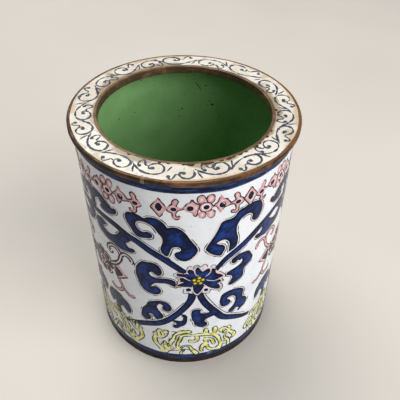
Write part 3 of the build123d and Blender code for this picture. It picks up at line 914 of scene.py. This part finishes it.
def paint(name, deep, bright, pool, shift=0.0, shade=0.6, streaks=2.4):
    """Brushed enamel paint: darker where it pools at the edge, streaky inside."""
    f = Finish(name)
    middle = f.ease(f.edge(), 0.0, pool)
    streak = f.ease(f.clouds(streaks, 4, 0.6, shift, twist=0.6), 0.36, 0.66)
    brushed = f.math("ADD", f.math("MULTIPLY", streak, shade), 1 - shade)
    share = f.math("MULTIPLY", middle, brushed, clamp=True)
    gloss = f.ease(f.clouds(1.7, 3, 0.6, shift + 9), 0.3, 0.72, 0.15, 0.32)
    normal = f.bump(f.clouds(1.3, 3, 0.5, shift + 4), 0.02)
    return f.done(f.mix(share, deep, bright), gloss, normal, shine=0.1)


def copper(name, bare, brown, dark, tarnish, shift=0.0, metal=0.85, rough=(0.3, 0.6), crest=None,
           shine=0.5, side_light=0.0):
    """Handled copper: brown in streaks round the hoop, with dark grime in blotches; a crest
    lightens the faces nearer the axis than it, partly rubbed bright and partly painted highlight,
    and a side setting makes the +X side lighter and the -X side darker as painted light.
    """
    f = Finish(name)
    streaks = f.clouds(0.55, 4, 0.65, shift, place=f.along(14))
    blotch = f.clouds(6, 4, 0.6, shift + 17)
    wear_and_sheen = f.math("ADD", f.math("MULTIPLY", streaks, 0.35), f.math("MULTIPLY", blotch, 0.65))
    # Painted highlight, partly real rubbing: faces nearer the axis than the crest, such as the
    # band's top, are made lighter.
    if crest is not None:
        wear_and_sheen = f.math("ADD", wear_and_sheen, f.ease(f.radius(), *crest))
    # Painted light: the +X side is made lighter and the -X side darker.
    painted_side_light = f.ease(f.xyz.outputs[0], -RIM_R, RIM_R, -side_light, side_light)
    share = f.ease(f.math("ADD", wear_and_sheen, painted_side_light), tarnish - 0.12, tarnish + 0.12)
    base = f.mix(share, brown, bare)
    grime = f.ease(f.clouds(1.6, 4, 0.65, shift + 40), 0.56, 0.7)
    base = f.mix(f.math("MULTIPLY", grime, 0.75), base, dark)
    gloss = f.ease(wear_and_sheen, 0.35, 0.75, rough[1], rough[0])
    scratched = f.bump(streaks, 0.03)
    return f.done(base, gloss, f.bump(f.clouds(2.2, 3, 0.5, shift + 3), 0.08, scratched),
                  metal, shine)


def lining(name):
    """Green counter enamel: finely speckled, with dark pits."""
    f = Finish(name)
    base = f.mix(f.ease(f.clouds(16, 3, 0.5), 0.36, 0.66), srgb(132, 178, 118),
                 srgb(120, 165, 105))
    fine = f.ease(f.clouds(0.5, 3, 0.7, 8), 0.42, 0.62)
    base = f.mix(f.math("MULTIPLY", fine, 0.35), base, srgb(146, 184, 126))
    pits = f.ease(f.clouds(0.9, 2, 0.5, 21), 0.7, 0.74)
    base = f.mix(f.math("MULTIPLY", pits, 0.8), base, srgb(38, 52, 34))
    gloss = f.ease(f.clouds(2.5, 4, 0.6, 13), 0.3, 0.7, 0.28, 0.5)
    grain = f.bump(f.clouds(0.7, 3, 0.6, 2), 0.03)
    return f.done(base, gloss, f.bump(f.clouds(7, 2, 0.4, 6), 0.25, grain))


def border_blue(name):
    """Dark blue border brushed round the cup, thin in streaks."""
    f = Finish(name)
    streaks = f.clouds(0.9, 4, 0.65, place=f.along(7))
    base = f.mix(f.ease(streaks, 0.4, 0.68), srgb(16, 22, 48), srgb(46, 74, 132))
    worn = f.ease(f.clouds(1.5, 4, 0.6, 12, place=f.along(3)), 0.62, 0.74)
    base = f.mix(f.math("MULTIPLY", worn, 0.6), base, srgb(150, 160, 180))
    gloss = f.ease(f.clouds(2, 3, 0.6, 4), 0.3, 0.7, 0.16, 0.36)
    return f.done(base, gloss, f.bump(streaks, 0.04), shine=0.1)


WHITE = enamel("white enamel", srgb(232, 236, 242), srgb(220, 225, 233), srgb(210, 202, 188),
               0.66)
CREAM = enamel("cream enamel", srgb(240, 236, 226), srgb(222, 214, 200), srgb(168, 146, 112),
               0.53, 50, specks=0.7,
               rims=((COLLAR_R, 1.2, 1.9, srgb(150, 130, 96)),
                     (RIM_ENAMEL_R, 0.8, 1.6, srgb(204, 184, 148))))
GREEN = lining("green enamel")
BORDER = border_blue("blue border enamel")
BLUE = paint("blue paint", srgb(6, 9, 32), srgb(20, 56, 128), 1.9, shade=0.9, streaks=4.5)
NAVY = paint("navy paint", srgb(10, 10, 22), srgb(28, 34, 62), 0.8, 3)
PINK = paint("pink paint", srgb(198, 142, 146), srgb(240, 226, 228), 1.2, 7, shade=0.75,
             streaks=1.7)
PALE_PINK = paint("pale pink paint", srgb(218, 196, 198), srgb(240, 230, 232), 0.3, 13)
YELLOW = paint("yellow paint", srgb(218, 220, 134), srgb(242, 244, 196), 0.5, 19, streaks=1.2)
GOLD = paint("strong yellow paint", srgb(214, 208, 96), srgb(196, 184, 36), 0.3, 53)
ORANGE = paint("warm yellow paint", srgb(200, 164, 92), srgb(240, 224, 164), 0.5, 23)
SEED = paint("lotus yellow paint", srgb(178, 160, 40), srgb(246, 232, 92), 0.5, 29)
INK = paint("dark line paint", srgb(16, 12, 20), srgb(46, 36, 48), 0.4, 31)
BROWN = paint("brown line paint", srgb(26, 12, 16), srgb(66, 40, 42), 0.4, 37)
OLIVE = paint("olive line paint", srgb(40, 42, 14), srgb(98, 98, 42), 0.3, 41, shade=0.8,
              streaks=1.2)
SLATE = paint("rim scroll paint", srgb(50, 54, 68), srgb(98, 110, 134), 0.4, 43, shade=0.8,
              streaks=1.5)
BARED = paint("bared metal", srgb(48, 36, 20), srgb(84, 64, 38), 0.3, 61)
MOSS = paint("lotus heart paint", srgb(38, 40, 18), srgb(84, 80, 26), 1.4, 47)
# Painted light on the rim band: its top is lightened as a painted highlight, and its +X side is
# made lighter than its -X side.
BAND = copper("rim band copper", srgb(132, 96, 70), srgb(56, 45, 35), srgb(36, 30, 24), 0.56,
              metal=0.3, crest=(RIM_R - 0.15, RIM_R - 0.5, 0.0, 0.12), shine=0.15, side_light=0.07)
# The foot band's copper is set much darker than the rim band's. This is partly its own tarnish
# and partly painted shade of the low band by the table.
FOOT = copper("foot band copper", srgb(62, 46, 35), srgb(42, 32, 25), srgb(26, 21, 17), 0.55,
              60, metal=0.2, rough=(0.45, 0.7), shine=0.2)
COLLAR = copper("mouth collar copper", srgb(156, 124, 96), srgb(106, 84, 64),
                srgb(62, 50, 38), 0.55, 80, metal=0.5)
SHEET = copper("copper sheet", srgb(206, 132, 98), srgb(160, 96, 70), srgb(84, 56, 44), 0.45,
               20)
SOLDER = copper("brass solder", srgb(140, 120, 88), srgb(108, 90, 66), srgb(66, 54, 42),
                0.42, 90, metal=0.6)
DULL_SOLDER = copper("tarnished solder", srgb(128, 112, 82), srgb(92, 80, 58),
                     srgb(60, 54, 40), 0.5, 96, metal=0.6)


# ---- painting the wall ------------------------------------------------------------------
blue, pink, pale, yellow, gold, orange, seeds, moss, navy, ink, brown, olive = (
    Paint(on_wall) for _ in range(12)
)
OUTLINE = 0.3                    # width of the fine brush lines
blue_leaves = []                 # outlines of the blue paint
blue_stems = []
contours = []                    # fine lines drawn beside the stems


def paint_panel(shift):
    """The blue scrolls and the lotus of one panel."""
    for outline in LEAVES:
        blue_leaves.append(spline(moved(outline, shift), closed=True))
    for flip, rise in ((None, 0), (PANEL_U, RIGHT_RISE)):
        for outline in (OUTER_LEAF, END_LEAF):
            loop = spline(moved(outline, shift, flip), closed=True)
            blue_leaves.append(loop + (0, rise))
    cloud = CLOUD_HALF + [(-u, z) for u, z in CLOUD_HALF[:0:-1]]
    blue_leaves.append(spline(moved(cloud, shift + PANEL_U - PITCH / 2), closed=True))
    for line, width in STEMS:
        blue_stems.append(band(spline(moved(line, shift)), width))
    for line in CONTOURS:
        contours.append(spline(moved(line, shift)))
    lotus = [spline(moved(o, shift), 0.2, closed=True) for o in [LOTUS_STAR, *LOTUS_SMALL]]
    tips = [spline(moved(o, shift), 0.2, closed=True) for o in LOTUS_TIPS]
    for loop in lotus:
        blue.fill(loop, crown=0.05, shoulder=0.4, grid=0.5, lift=0.01)
    halo(pale, lotus[0], gap=0.24, width=0.36, blockers=lotus[1:], clear=0.1, lift=0.02,
         shortest=0.6)
    halo(ink, lotus[0], gap=0.6, width=0.26, blockers=lotus[1:] + tips, clear=0.3, lift=0.02,
         shortest=0.6, share=0.8)
    for line in LOTUS_EDGES:
        pale.stroke(spline(moved(line, shift), 0.2), width=0.42, crown=0.04, lift=0.05,
                    seed=line[0][0])
    for loop in tips:
        pale.fill(loop, grid=0.4, lift=0.01)
    for line in LOTUS_LINES:
        ink.stroke(spline(moved(line, shift), 0.2), width=OUTLINE, lift=0.03, seed=line[0][0])
    ink.stroke(spline(moved(LOTUS_LOOP, shift), 0.15, closed=True), width=0.24, closed=True)
    heart = np.array(LOTUS_HEART) + (shift, 0)
    moss.dot(heart, radius=2.4, crown=0.05, squash=1.1, lift=0.08)
    for seed in LOTUS_SEEDS:
        seeds.dot(np.array(seed) + (shift, 0), radius=0.64, crown=0.14, lift=0.12)


def paint_cluster(shift, flip):
    """One bunch of yellow scrollwork with olive contours."""
    def placed(line, closed=False):
        """A curve of the bunch where it belongs on the wall."""
        return spline(moved(line, shift, flip), closed=closed)

    shapes = [placed(patch, closed=True) for patch in YELLOW_PATCHES]
    shapes += [band(placed(line), width, round_ends=True) for line, width in YELLOW_BANDS]
    hook = band(placed(YELLOW_HOOK[0]), YELLOW_HOOK[1], round_ends=True)
    for number, loop in enumerate(shapes):
        yellow.fill(loop, crown=0.03, shoulder=0.5, grid=0.6, lift=0.002 * number)
    yellow.fill(hook, crown=0.035, grid=0.5, lift=0.05)
    orange.stroke(placed(HOOK_BEND), width=1.35, crown=0.02, taper=1.4, uneven=0.4, lift=0.08)
    for number, loop in enumerate(shapes + [hook]):
        others = [other for other in shapes if other is not loop]
        around = np.concatenate([loop, loop[:1]])
        free = fits(around, others, -0.05 if loop is hook else 0.1)
        for stretch in pieces_of(around, free, 0.8):
            olive.stroke(stretch, width=0.52, crown=0.04, taper=0.6, uneven=0.8,
                         seed=number + shift, lift=0.05)
    for number, line in enumerate(OLIVE_LINES):
        olive.stroke(placed(line), width=0.5, crown=0.04, uneven=0.6, seed=number, lift=0.06)
    for number, line in enumerate(GOLD_STREAKS):
        gold.stroke(placed(line), width=0.8, crown=0.02, taper=1.2, uneven=0.6, seed=number,
                    lift=0.07)
    for number, line in enumerate(BARE_STREAKS):
        pale.stroke(placed(line), width=0.62, crown=0.02, uneven=0.5, seed=number, lift=0.08)


def paint_flower(shift, rise):
    """A pink flower between two panels, with the leaves and tendrils on both its sides."""
    def placed(line, side):
        """Points drawn for the right side, on the left side if side is -1."""
        return [(shift + side * u, z + rise) for u, z in line]

    for side in (-1, 1):
        heavy = side > 0                             # the brush was fuller on this side
        for number, line in enumerate(TENDRILS):
            middle = spline(placed(line, side))
            faint = number > 2                       # the lower tendrils are pale all over
            strong = heavy and not faint
            (pale if strong else pink).stroke(middle, width=1.2, taper=1.2, seed=number)
            _, normal = directions(middle)
            for edge in (-0.65, 0.65):
                brown.stroke(middle + normal * edge, width=0.85 if strong else 0.4, lift=0.02,
                             seed=number + edge, uneven=0.6)
        leaf = spline(placed(PINK_LEAF, side), closed=True)
        pink.fill(leaf, grid=0.5, lift=0.01)
        brown.contour(leaf, width=0.7 if heavy else 0.36, seed=side, lift=0.03)
        eye = spline(placed(PINK_LEAF_EYE, side), 0.2, closed=True)
        navy.fill(eye, grid=0.4, lift=0.05)
    middle_z = FLOWER_Z + rise
    for number, degrees in enumerate([0, 90, 180, 270, 45, 135, 225, 315]):
        wide = number > 3                            # the four diagonal petals are the large ones
        turn = math.radians(degrees)
        u, z = shift + FLOWER_REACH * math.cos(turn), middle_z + FLOWER_REACH * math.sin(turn)
        size = 2.3 if wide else 1.75
        petal = oval(u, z, size, 0.97 * size)
        pale.fill(petal, grid=0.5, lift=0.02 + 0.006 * wide)
        brown.contour(petal, width=0.9, seed=number + 0.3, lift=0.05)
        brown.dot((u, z), radius=1.7 if wide else 1.35, lift=0.09)
    heart = oval(shift, middle_z, 2.3, 2.2)
    pink.fill(heart, grid=0.5, lift=0.04)
    brown.contour(heart, width=0.55, lift=0.07)
    navy.dot((shift, middle_z), radius=1.2, lift=0.11)


def chain_link(kind, u, z):
    """One link of the pink chain, its contour and its dark eye."""
    shape = spline(np.array(LINKS[kind]) + (u, z), closed=True)
    if kind == "flower":
        for side, high, wide, tall in FLOWER_LINK_PETALS:
            petal = oval(u + side, z + high, wide, tall)
            pink.fill(petal, grid=0.5)
            brown.contour(petal, width=0.38, seed=u + high, lift=0.02)
            pale.stroke([(u + side, z + high - 0.6), (u + side, z + high),
                         (u + side + 0.2, z + high + 0.6)], width=0.9, lift=0.06)
    pink.fill(shape, grid=0.5, lift=0.015)
    brown.contour(shape, width=0.42, seed=u, lift=0.035)
    if kind == "diamond":
        navy.fill(spline(np.array(DIAMOND_EYE) + (u, z), closed=True), grid=0.5, lift=0.06)
    elif kind == "shield":
        navy.dot((u - 0.3, z - 0.1), radius=1.15, lift=0.07)
    elif kind == "spindle":
        navy.dot((u + 0.2, z - 0.1), radius=1.3, squash=1.1, lift=0.06)
        glint = [(u - 0.1, z + 0.7), (u + 0.5, z + 0.6), (u + 0.9, z)]
        pale.stroke(glint, width=0.42, lift=0.15)
    elif kind == "flower":
        pale.dot((u, z), radius=1.6, crown=0.02, lift=0.08)
        navy.dot((u + 0.1, z), radius=0.98, lift=0.1)
    else:
        navy.dot((u, z - 0.5), radius=1.05, squash=0.85, lift=0.07)


for panel in range(PANELS):
    paint_panel(panel * PITCH)
blue_loops = blue_leaves + blue_stems
for loop in blue_loops:
    blue.fill(loop)
for number, loop in enumerate(blue_leaves):
    halo(ink, loop, gap=0.48, width=OUTLINE, blockers=blue_loops, clear=0.3, seed=number,
         share=0.62, uneven=0.9)
    halo(pale, loop, gap=0.3, width=0.36, blockers=blue_loops, clear=0.12, seed=number + 0.5,
         share=0.45, crown=0.02)
for number, line in enumerate(contours):
    for stretch in pieces_of(line, fits(line, blue_loops, clear=0.15)):
        ink.stroke(stretch, width=0.34, seed=number)
for half in range(2 * PANELS):
    paint_cluster(half * PITCH / 2, CLUSTER_U if half % 2 else None)
for panel, rise in enumerate(FLOWER_RISES):
    paint_flower(PANEL_U + (panel + 0.5) * PITCH, rise)
group_length = (AROUND - CHAIN_GAP) / CHAIN_GROUPS
for group in range(CHAIN_GROUPS):
    for kind, along in CHAIN_GROUP:
        u = CHAIN_START + group_length * (group + along / CHAIN_GROUP_LENGTH)
        chain_link(kind, u + random.uniform(-0.1, 0.1), CHAIN_Z + random.uniform(-0.2, 0.2))

blue.build("blue_scrolls", BLUE, "blue_paint")
pink.build("pink_flowers", PINK, "pink_paint")
pale.build("pale_contours", PALE_PINK, "pink_paint")
yellow.build("yellow_scrollwork", YELLOW, "yellow_paint")
gold.build("scrollwork_streaks", GOLD, "yellow_paint")
orange.build("warm_scrollwork", ORANGE, "yellow_paint")
seeds.build("lotus_seeds", SEED, "yellow_paint")
moss.build("lotus_hearts", MOSS, "olive_line_paint")
navy.build("chain_eyes", NAVY, "blue_paint")
ink.build("dark_contours", INK, "dark_line_paint")
brown.build("brown_contours", BROWN, "dark_line_paint")
olive.build("olive_contours", OLIVE, "olive_line_paint")


# ---- painting the rim -------------------------------------------------------------------
scroll = Paint(on_rim)


def on_scroll(points, centre, spread, way, depth):
    """Rim points of a curve given in degrees and millimetres about an arch or dip.

    spread stretches it along the rim, way is 1 or -1 for an arch or a dip, and depth
    deepens what lies beyond the scroll's middle line.
    """
    p = np.array(points, float)
    s = np.radians(centre + p[:, 0] * spread) * RIM_MID
    p[:, 1] *= np.where(p[:, 1] > 0, depth, 1)
    return np.stack([s, RIM_MID + p[:, 1] * way], 1)


def paint_arch(centre, before, way, depth):
    """One turn of the running scroll, its side curl and its tick."""
    spread = (centre - before) % 360 / 2 / ARCH_HALF
    kept = ARCH[5:] if centre == WORN_DIP else ARCH
    arch = spline(on_scroll(kept, centre, spread, way, depth))
    scroll.stroke(arch, width=0.62, taper=1.0, seed=centre, uneven=1.1)
    scroll.dot(arch[-1], radius=0.7, lift=0.02)
    curl = spline(on_scroll(SIDE_CURL if way > 0 else DIP_CURL, centre, spread, way, depth))
    scroll.stroke(curl, width=0.55, seed=centre + 1, uneven=0.8)
    scroll.dot(curl[-1], radius=0.62, lift=0.02)
    tick = spline(on_scroll(ARCH_TICK if way > 0 else DIP_TICK, centre, spread, way, depth))
    scroll.stroke(tick, width=0.62, taper=2.4, seed=centre)


turns = sorted([(centre, 1, 1) for centre in ARCHES]
               + [(centre, -1, depth) for centre, depth in DIPS])
for number, (centre, way, depth) in enumerate(turns):
    paint_arch(centre, turns[number - 1][0], way, depth)
scroll.build("rim_scroll", SLATE, "rim_scroll_paint")

# Chips beside the collar: degrees from the front line, and size.
CHIPS = [(-0.5, 0.55), (3, 1.0), (10.8, 0.75), (12.6, 0.8), (14.6, 0.6), (20.5, 0.5), (25, 0.7),
         (28, 0.5), (33, 0.5), (45, 0.7), (49, 0.45), (57, 0.5), (64, 0.4), (88, 0.6),
         (-33, 0.45), (-14, 0.4), (-9, 0.35), (37, 0.35)]
chips = Paint(on_rim)
for degrees, size in CHIPS:
    chip = oval(math.radians(degrees) * RIM_MID, COLLAR_R, 1.6 * size, 0.9 * size, turns=18,
                uneven=0.35, seed=degrees)
    chips.fill(chip, crown=0.015, grid=0.35)
chips.dot((math.radians(82) * RIM_MID, COLLAR_R + 0.6), radius=0.45, crown=0.02)
chips.build("rim_chips", BARED, "aged_copper")


# ---- the fired ground and the copper bands ------------------------------------------------
def lathe(name, profile, finish, change, centre=0.0, sweep=360.0, steps=400):
    """A closed (radius, height) profile turned about the axis, all the way or over an arc."""
    p = np.array(profile, float)
    full = sweep >= 360
    count = steps if full else max(4, round(steps * sweep / 360)) + 1
    angle = np.radians(centre - sweep / 2 + sweep * np.arange(count) / (count - (not full)))
    a = np.repeat(angle[:, None], len(p), 1)
    r, z = np.repeat(p[None, :, 0], count, 0), np.repeat(p[None, :, 1], count, 0)
    r, z = change(a, r, z)
    x, y = r * np.sin(a), -r * np.cos(a)
    verts = np.stack([x, y, z], 2).reshape(-1, 3) * MM
    faces = []
    m = len(p)
    for i in range(count if full else count - 1):
        k = (i + 1) % count
        for j in range(m):
            n = (j + 1) % m
            faces.append((i * m + j, k * m + j, k * m + n, i * m + n))
    if not full:
        faces.append(tuple(range(m)))
        faces.append(tuple(range((count - 1) * m, count * m))[::-1])
    return piece(name, verts, faces, finish, sharp=40)


def rows(low, high, step):
    """Evenly spaced values from low to high, about a step apart."""
    return np.linspace(low, high, max(2, round((high - low) / step) + 1))


def ripple_at(a, r, z):
    """The enamel's unevenness on a grid of angles, radii and heights."""
    x, y = r * np.sin(a), -r * np.cos(a)
    return ripple(x.ravel(), y.ravel(), z.ravel()).reshape(x.shape)


def rolling_wall(a, r, z):
    """Gives the outer face of the wall's enamel its unevenness."""
    outer = r > TUBE_R + 0.1
    return r + outer * ripple_at(a, np.full_like(r, WALL_R), z), z


def rolling_rim(a, r, z):
    """Gives the upper face of the rim's enamel its unevenness."""
    top = z > PLATE_TOP + 0.1
    return r, z + top * ripple_at(a, r, np.full_like(r, RIM_TOP))


UNDERLAP = 0.6                   # the white ground runs a little under the blue borders
low, high = LOWER_BORDER_TOP - UNDERLAP, UPPER_BORDER_BOTTOM + UNDERLAP
ground = [(WALL_R, z) for z in rows(low, high, 1.4)] + [(TUBE_R, high), (TUBE_R, low)]
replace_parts(lathe("wall_ground", ground, WHITE, rolling_wall), "wall_enamel")


BORDER_RAISED = 0.03             # the blue stands this much proud of the white


def border(name, fixed, edge, node):
    """A blue border whose free edge was drawn by hand."""
    inward = 1 if edge > fixed else -1
    steps = rows(0, abs(edge - fixed) - 0.25, 0.6)
    side = [(WALL_R + BORDER_RAISED, fixed + inward * s) for s in steps]
    profile = [(TUBE_R, fixed)] + side + [(WALL_R + 0.005, edge), (TUBE_R, edge)]

    def change(a, r, z):
        """The wall's unevenness, and a hand-drawn wave that grows towards the free edge."""
        r, z = rolling_wall(a, r, z)
        share = np.clip(np.abs(z - fixed) / abs(edge - fixed), 0, 1) ** 2
        wave = np.array([noise.noise(Vector((3.1 * math.cos(t), 3.1 * math.sin(t), fixed)))
                         + 0.5 * noise.noise(Vector((9 * math.cos(t), 9 * math.sin(t), 3)))
                         for t in a[:, 0]])
        return r, z + share * 0.3 * wave[:, None]

    made = lathe(name, profile if inward > 0 else profile[::-1], BORDER,
                 change)
    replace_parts(made, node)


border("lower_border", FOOT_TOP, LOWER_BORDER_TOP, "lower_border_enamel")
border("upper_border", BAND_BOTTOM, UPPER_BORDER_BOTTOM, "upper_border_enamel")

inner_edge = COLLAR_R - 0.25
top = [(r, RIM_TOP) for r in rows(inner_edge, RIM_ENAMEL_R, 0.5)[::-1]]
rim_ground = [(inner_edge, PLATE_TOP), (WALL_R, PLATE_TOP)] + top
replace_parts(lathe("rim_ground", rim_ground, CREAM, rolling_rim), "rim_enamel")


def rounded_box(inner, outer, bottom, top, inner_round, outer_round):
    """Profile of a strip on edge, counter-clockwise, with rounded inner and outer corners."""
    line = []
    step = 0.25

    def corner(r, z, radius, start):
        """A quarter turn about (r, z), from start degrees."""
        turns = np.radians(np.linspace(start, start + 90, 6 if radius else 1))
        line.extend((r + radius * math.cos(t), z + radius * math.sin(t)) for t in turns)

    corner(outer - outer_round, bottom + outer_round, outer_round, -90)
    line.extend((outer, z) for z in rows(bottom + outer_round, top - outer_round, step)[1:-1])
    corner(outer - outer_round, top - outer_round, outer_round, 0)
    line.extend((r, top) for r in rows(inner + inner_round, outer - outer_round, step)[-2:0:-1])
    corner(inner + inner_round, top - inner_round, inner_round, 90)
    corner(inner + inner_round, bottom + inner_round, inner_round, 180)
    return line


def handworked(amount, rate, seed, fixed=()):
    """Unevenness of a strip that was bent and filed by hand; the fixed heights stay."""
    def change(a, r, z):
        """Moves each point a little in radius and height."""
        x, y = r * np.sin(a) * rate, -r * np.cos(a) * rate
        lumps = np.array([noise.noise_vector(Vector((p, q, h * rate + seed)))
                          for p, q, h in zip(x.ravel(), y.ravel(), z.ravel())])
        lumps = lumps.reshape(*r.shape, 3) * amount
        held = np.zeros(r.shape, bool)
        for height in fixed:
            held |= np.abs(z - height) < 1e-6
        return r + lumps[..., 0], z + np.where(held, 0, 0.6 * lumps[..., 1])
    return change


def joint(name, profile, degrees, width, proud, change, node, finish=SOLDER):
    """The solder that closes a strip, standing a little proud of it."""
    p = np.array(profile)
    middle = p.mean(0)
    p = p + proud * np.sign(p - middle)
    sweep = math.degrees(width / p[:, 0].max())
    made = lathe(name, p, finish, change, degrees, sweep, steps=1600)
    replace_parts(made, node)


SLACK = 0.08                     # keeps hand-worked metal inside the strip's nominal size
band_profile = rounded_box(WALL_R - 0.25, RIM_R - SLACK, BAND_BOTTOM + 0.02, CUP_TOP - 0.05, 0.9,
                           0.55)
band_shape = handworked(0.07, 0.16, 3)
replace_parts(lathe("rim_band_strip", band_profile, BAND, band_shape), "rim_band")
joint("rim_band_joint", band_profile, -18, 1.1, 0.025, band_shape, "rim_band_solder")

THICKENED = 0.5                  # the collar was rolled this much thicker, towards the mouth
collar_profile = rounded_box(MOUTH_R - THICKENED, COLLAR_R - 0.12, COLLAR_LOW.z, CUP_TOP - 0.04,
                             0.35, 0.1)
collar_shape = handworked(0.06, 0.2, 9)
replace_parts(lathe("collar_strip", collar_profile, COLLAR, collar_shape),
            "mouth_collar")
joint("collar_joint", collar_profile, 0, 1.1, 0.025, collar_shape, "mouth_collar_solder",
      DULL_SOLDER)

foot_profile = rounded_box(TUBE_R, WALL_R + 0.06, 0, FOOT_TOP + 0.04, 0, 0.18)
foot_shape = handworked(0.05, 0.2, 15, fixed=(0,))
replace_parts(lathe("foot_strip", foot_profile, FOOT, foot_shape), "foot_band")
joint("foot_joint", foot_profile, 180, 1.1, 0.02, foot_shape, "foot_band_solder",
      DULL_SOLDER)

floor_top = LINING_LOW.z
BEND = 2.2                       # the lining is thick in the corner of wall and floor
bend = [(LINING_R - BEND + BEND * math.cos(t), floor_top + BEND - BEND * math.sin(t))
        for t in np.radians(np.linspace(0, 90, 9))]
inner = [(LINING_R, z) for z in rows(floor_top + BEND, LINING_HIGH.z, 1.5)[::-1]]
PIN = 0.1                        # radius left open on the axis, where turned faces would meet
middle = [(r, floor_top) for r in rows(PIN, LINING_R - BEND, 1.5)[::-1]]
outer_low = [(PIN, floor_top - ENAMEL), (LINING_R + ENAMEL, floor_top - ENAMEL)]
cup_lining = inner + bend[1:] + middle[1:] + outer_low + [(LINING_R + ENAMEL, LINING_HIGH.z)]
LUMP = 0.12                      # most that the lining rises and sinks
lining_shape = handworked(LUMP, 0.09, 21, fixed=(floor_top - ENAMEL, LINING_HIGH.z))


def lining_change(a, r, z):
    """Makes the lining's open face uneven, standing clear of the metal behind it."""
    moved_r, moved_z = lining_shape(a, r, z)
    skin = (r < LINING_R + 0.1) & (z > floor_top - 0.1)
    return np.where(skin, moved_r - LUMP, r), np.where(skin, moved_z, z)


lined = lathe("green_lining", cup_lining, GREEN, lining_change, steps=240)
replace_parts(lined, "wall_lining_enamel", "floor_lining_enamel")


def on_lining(points):
    """(distance round the inside, z, height above the lining) to metres."""
    u, z, h = points.T
    a = u / LINING_R
    r, z = lining_change(a, np.full_like(u, LINING_R), z)
    return np.stack([(r - h) * np.sin(a), -(r - h) * np.cos(a), z], 1) * MM


# Dark marks inside the mouth: degrees from the front line, height, size.
LINING_MARKS = [(161.7, 82.4, 0.45), (163.6, 83.8, 0.3), (165.2, 81.8, 0.22), (182, 79.2, 0.36),
                (184, 78.4, 0.22), (166.3, 90.9, 0.3), (227, 81.1, 0.24), (214.3, 81.1, 0.2)]
LINING_SCRATCH = [(172.9, 92), (171.6, 90.6), (170.4, 89.6), (169.4, 88.2)]
marks = Paint(on_lining)
for degrees, z, size in LINING_MARKS:
    mark = oval(math.radians(degrees) * LINING_R, z, 1.2 * size, size, turns=14, uneven=0.5,
                seed=degrees)
    marks.fill(mark, crown=0.01, grid=0.3)
scratch = [(math.radians(degrees) * LINING_R, z) for degrees, z in LINING_SCRATCH]
marks.stroke(spline(scratch), width=0.3, crown=0.01)
marks.build("lining_marks", BARED, "aged_copper")

HIDDEN = {                       # CAD nodes shown as they are, most of them out of sight
    "body_tube": (SHEET, "copper_sheet"),
    "body_seam_solder": (SOLDER, "brass_solder"),
    "base_plate": (SHEET, "copper_sheet"),
    "base_solder_fillet": (SOLDER, "brass_solder"),
    "top_plate": (SHEET, "copper_sheet"),
    "top_plate_solder": (SOLDER, "brass_solder"),
    "top_lining_enamel": (GREEN, "green_enamel"),
    "underside_enamel": (GREEN, "green_enamel"),
}
for node, (finish, slot) in HIDDEN.items():
    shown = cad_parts[node]
    shown.data.materials.clear()
    shown.data.materials.append(finish)


# ---- floor, light, camera ----------------------------------------------------------------
def floor_finish():
    """Pale, nearly even table top."""
    f = Finish("pale floor")
    tone = f.mix(f.clouds(140, 2, 0.4), srgb(214, 208, 200), srgb(222, 217, 210))
    return f.done(tone, f.ease(f.clouds(60, 3, 0.5), 0.3, 0.7, 0.55, 0.7),
                  f.bump(f.clouds(1.2, 2, 0.5), 0.02))


HALF_FLOOR = 1.6                 # metres
corners = [(x * HALF_FLOOR, y * HALF_FLOOR, 0) for x, y in ((-1, -1), (1, -1), (1, 1), (-1, 1))]
mesh_object("floor", corners, [(0, 1, 2, 3)], floor_finish())
AIM = Vector((0, 0, 0.06))       # what the lights are turned to, in metres


def area_light(name, place, size, watts, colour, shiny=True):
    """A soft square light turned to the middle of the cup."""
    data = bpy.data.lights.new(name, "AREA")
    data.size = size
    data.energy = watts
    data.color = colour
    lamp = bpy.data.objects.new(name, data)
    lamp.location = place
    lamp.rotation_mode = "QUATERNION"
    lamp.rotation_quaternion = (AIM - Vector(place)).to_track_quat("-Z", "Y")
    lamp.visible_glossy = shiny
    bpy.context.scene.collection.objects.link(lamp)


area_light("window", (0.72, -0.55, 0.56), 1.0, 12.4, (1.0, 0.99, 0.97), shiny=False)
area_light("ceiling", (-0.28, 0.4, 0.95), 0.8, 8.6, (1.0, 0.98, 0.94))

world = bpy.data.worlds.new("room")
bpy.context.scene.world = world
world.use_nodes = True
sky = world.node_tree.nodes["Background"]
sky.inputs["Color"].default_value = (0.86, 0.9, 1.0, 1.0)
sky.inputs["Strength"].default_value = 0.11

bpy.context.scene.view_settings.view_transform = "Standard"

# The photograph's viewpoint, found by fitting the rim, mouth and foot circles.
EYE = Vector((0, -142.67, 191.02)) * MM
TURN = 0.0418                    # aims this far right of the cup's axis, radians
PITCH_DOWN = 0.745               # and this far down
ROLL = 0.0268
FOCAL_LENGTHS = 479.9 / 400      # focal length over picture width
OFF_CENTRE = (0.0003, -0.00025)  # where the fitted centre lies, in picture widths
ahead = Vector((math.sin(TURN) * math.cos(PITCH_DOWN), math.cos(TURN) * math.cos(PITCH_DOWN),
                -math.sin(PITCH_DOWN)))
level = Vector((math.cos(TURN), -math.sin(TURN), 0))
upright = level.cross(ahead)
right = level * math.cos(ROLL) + upright * math.sin(ROLL)
up = upright * math.cos(ROLL) - level * math.sin(ROLL)
camera_data = bpy.data.cameras.new("camera")
camera_data.lens = FOCAL_LENGTHS * camera_data.sensor_width
camera_data.clip_start = 0.01
camera_data.shift_x, camera_data.shift_y = OFF_CENTRE
camera = bpy.data.objects.new("camera", camera_data)
camera.matrix_world = Matrix.Translation(EYE) @ Matrix((right, up, -ahead)).transposed().to_4x4()
bpy.context.scene.collection.objects.link(camera)
bpy.context.scene.camera = camera
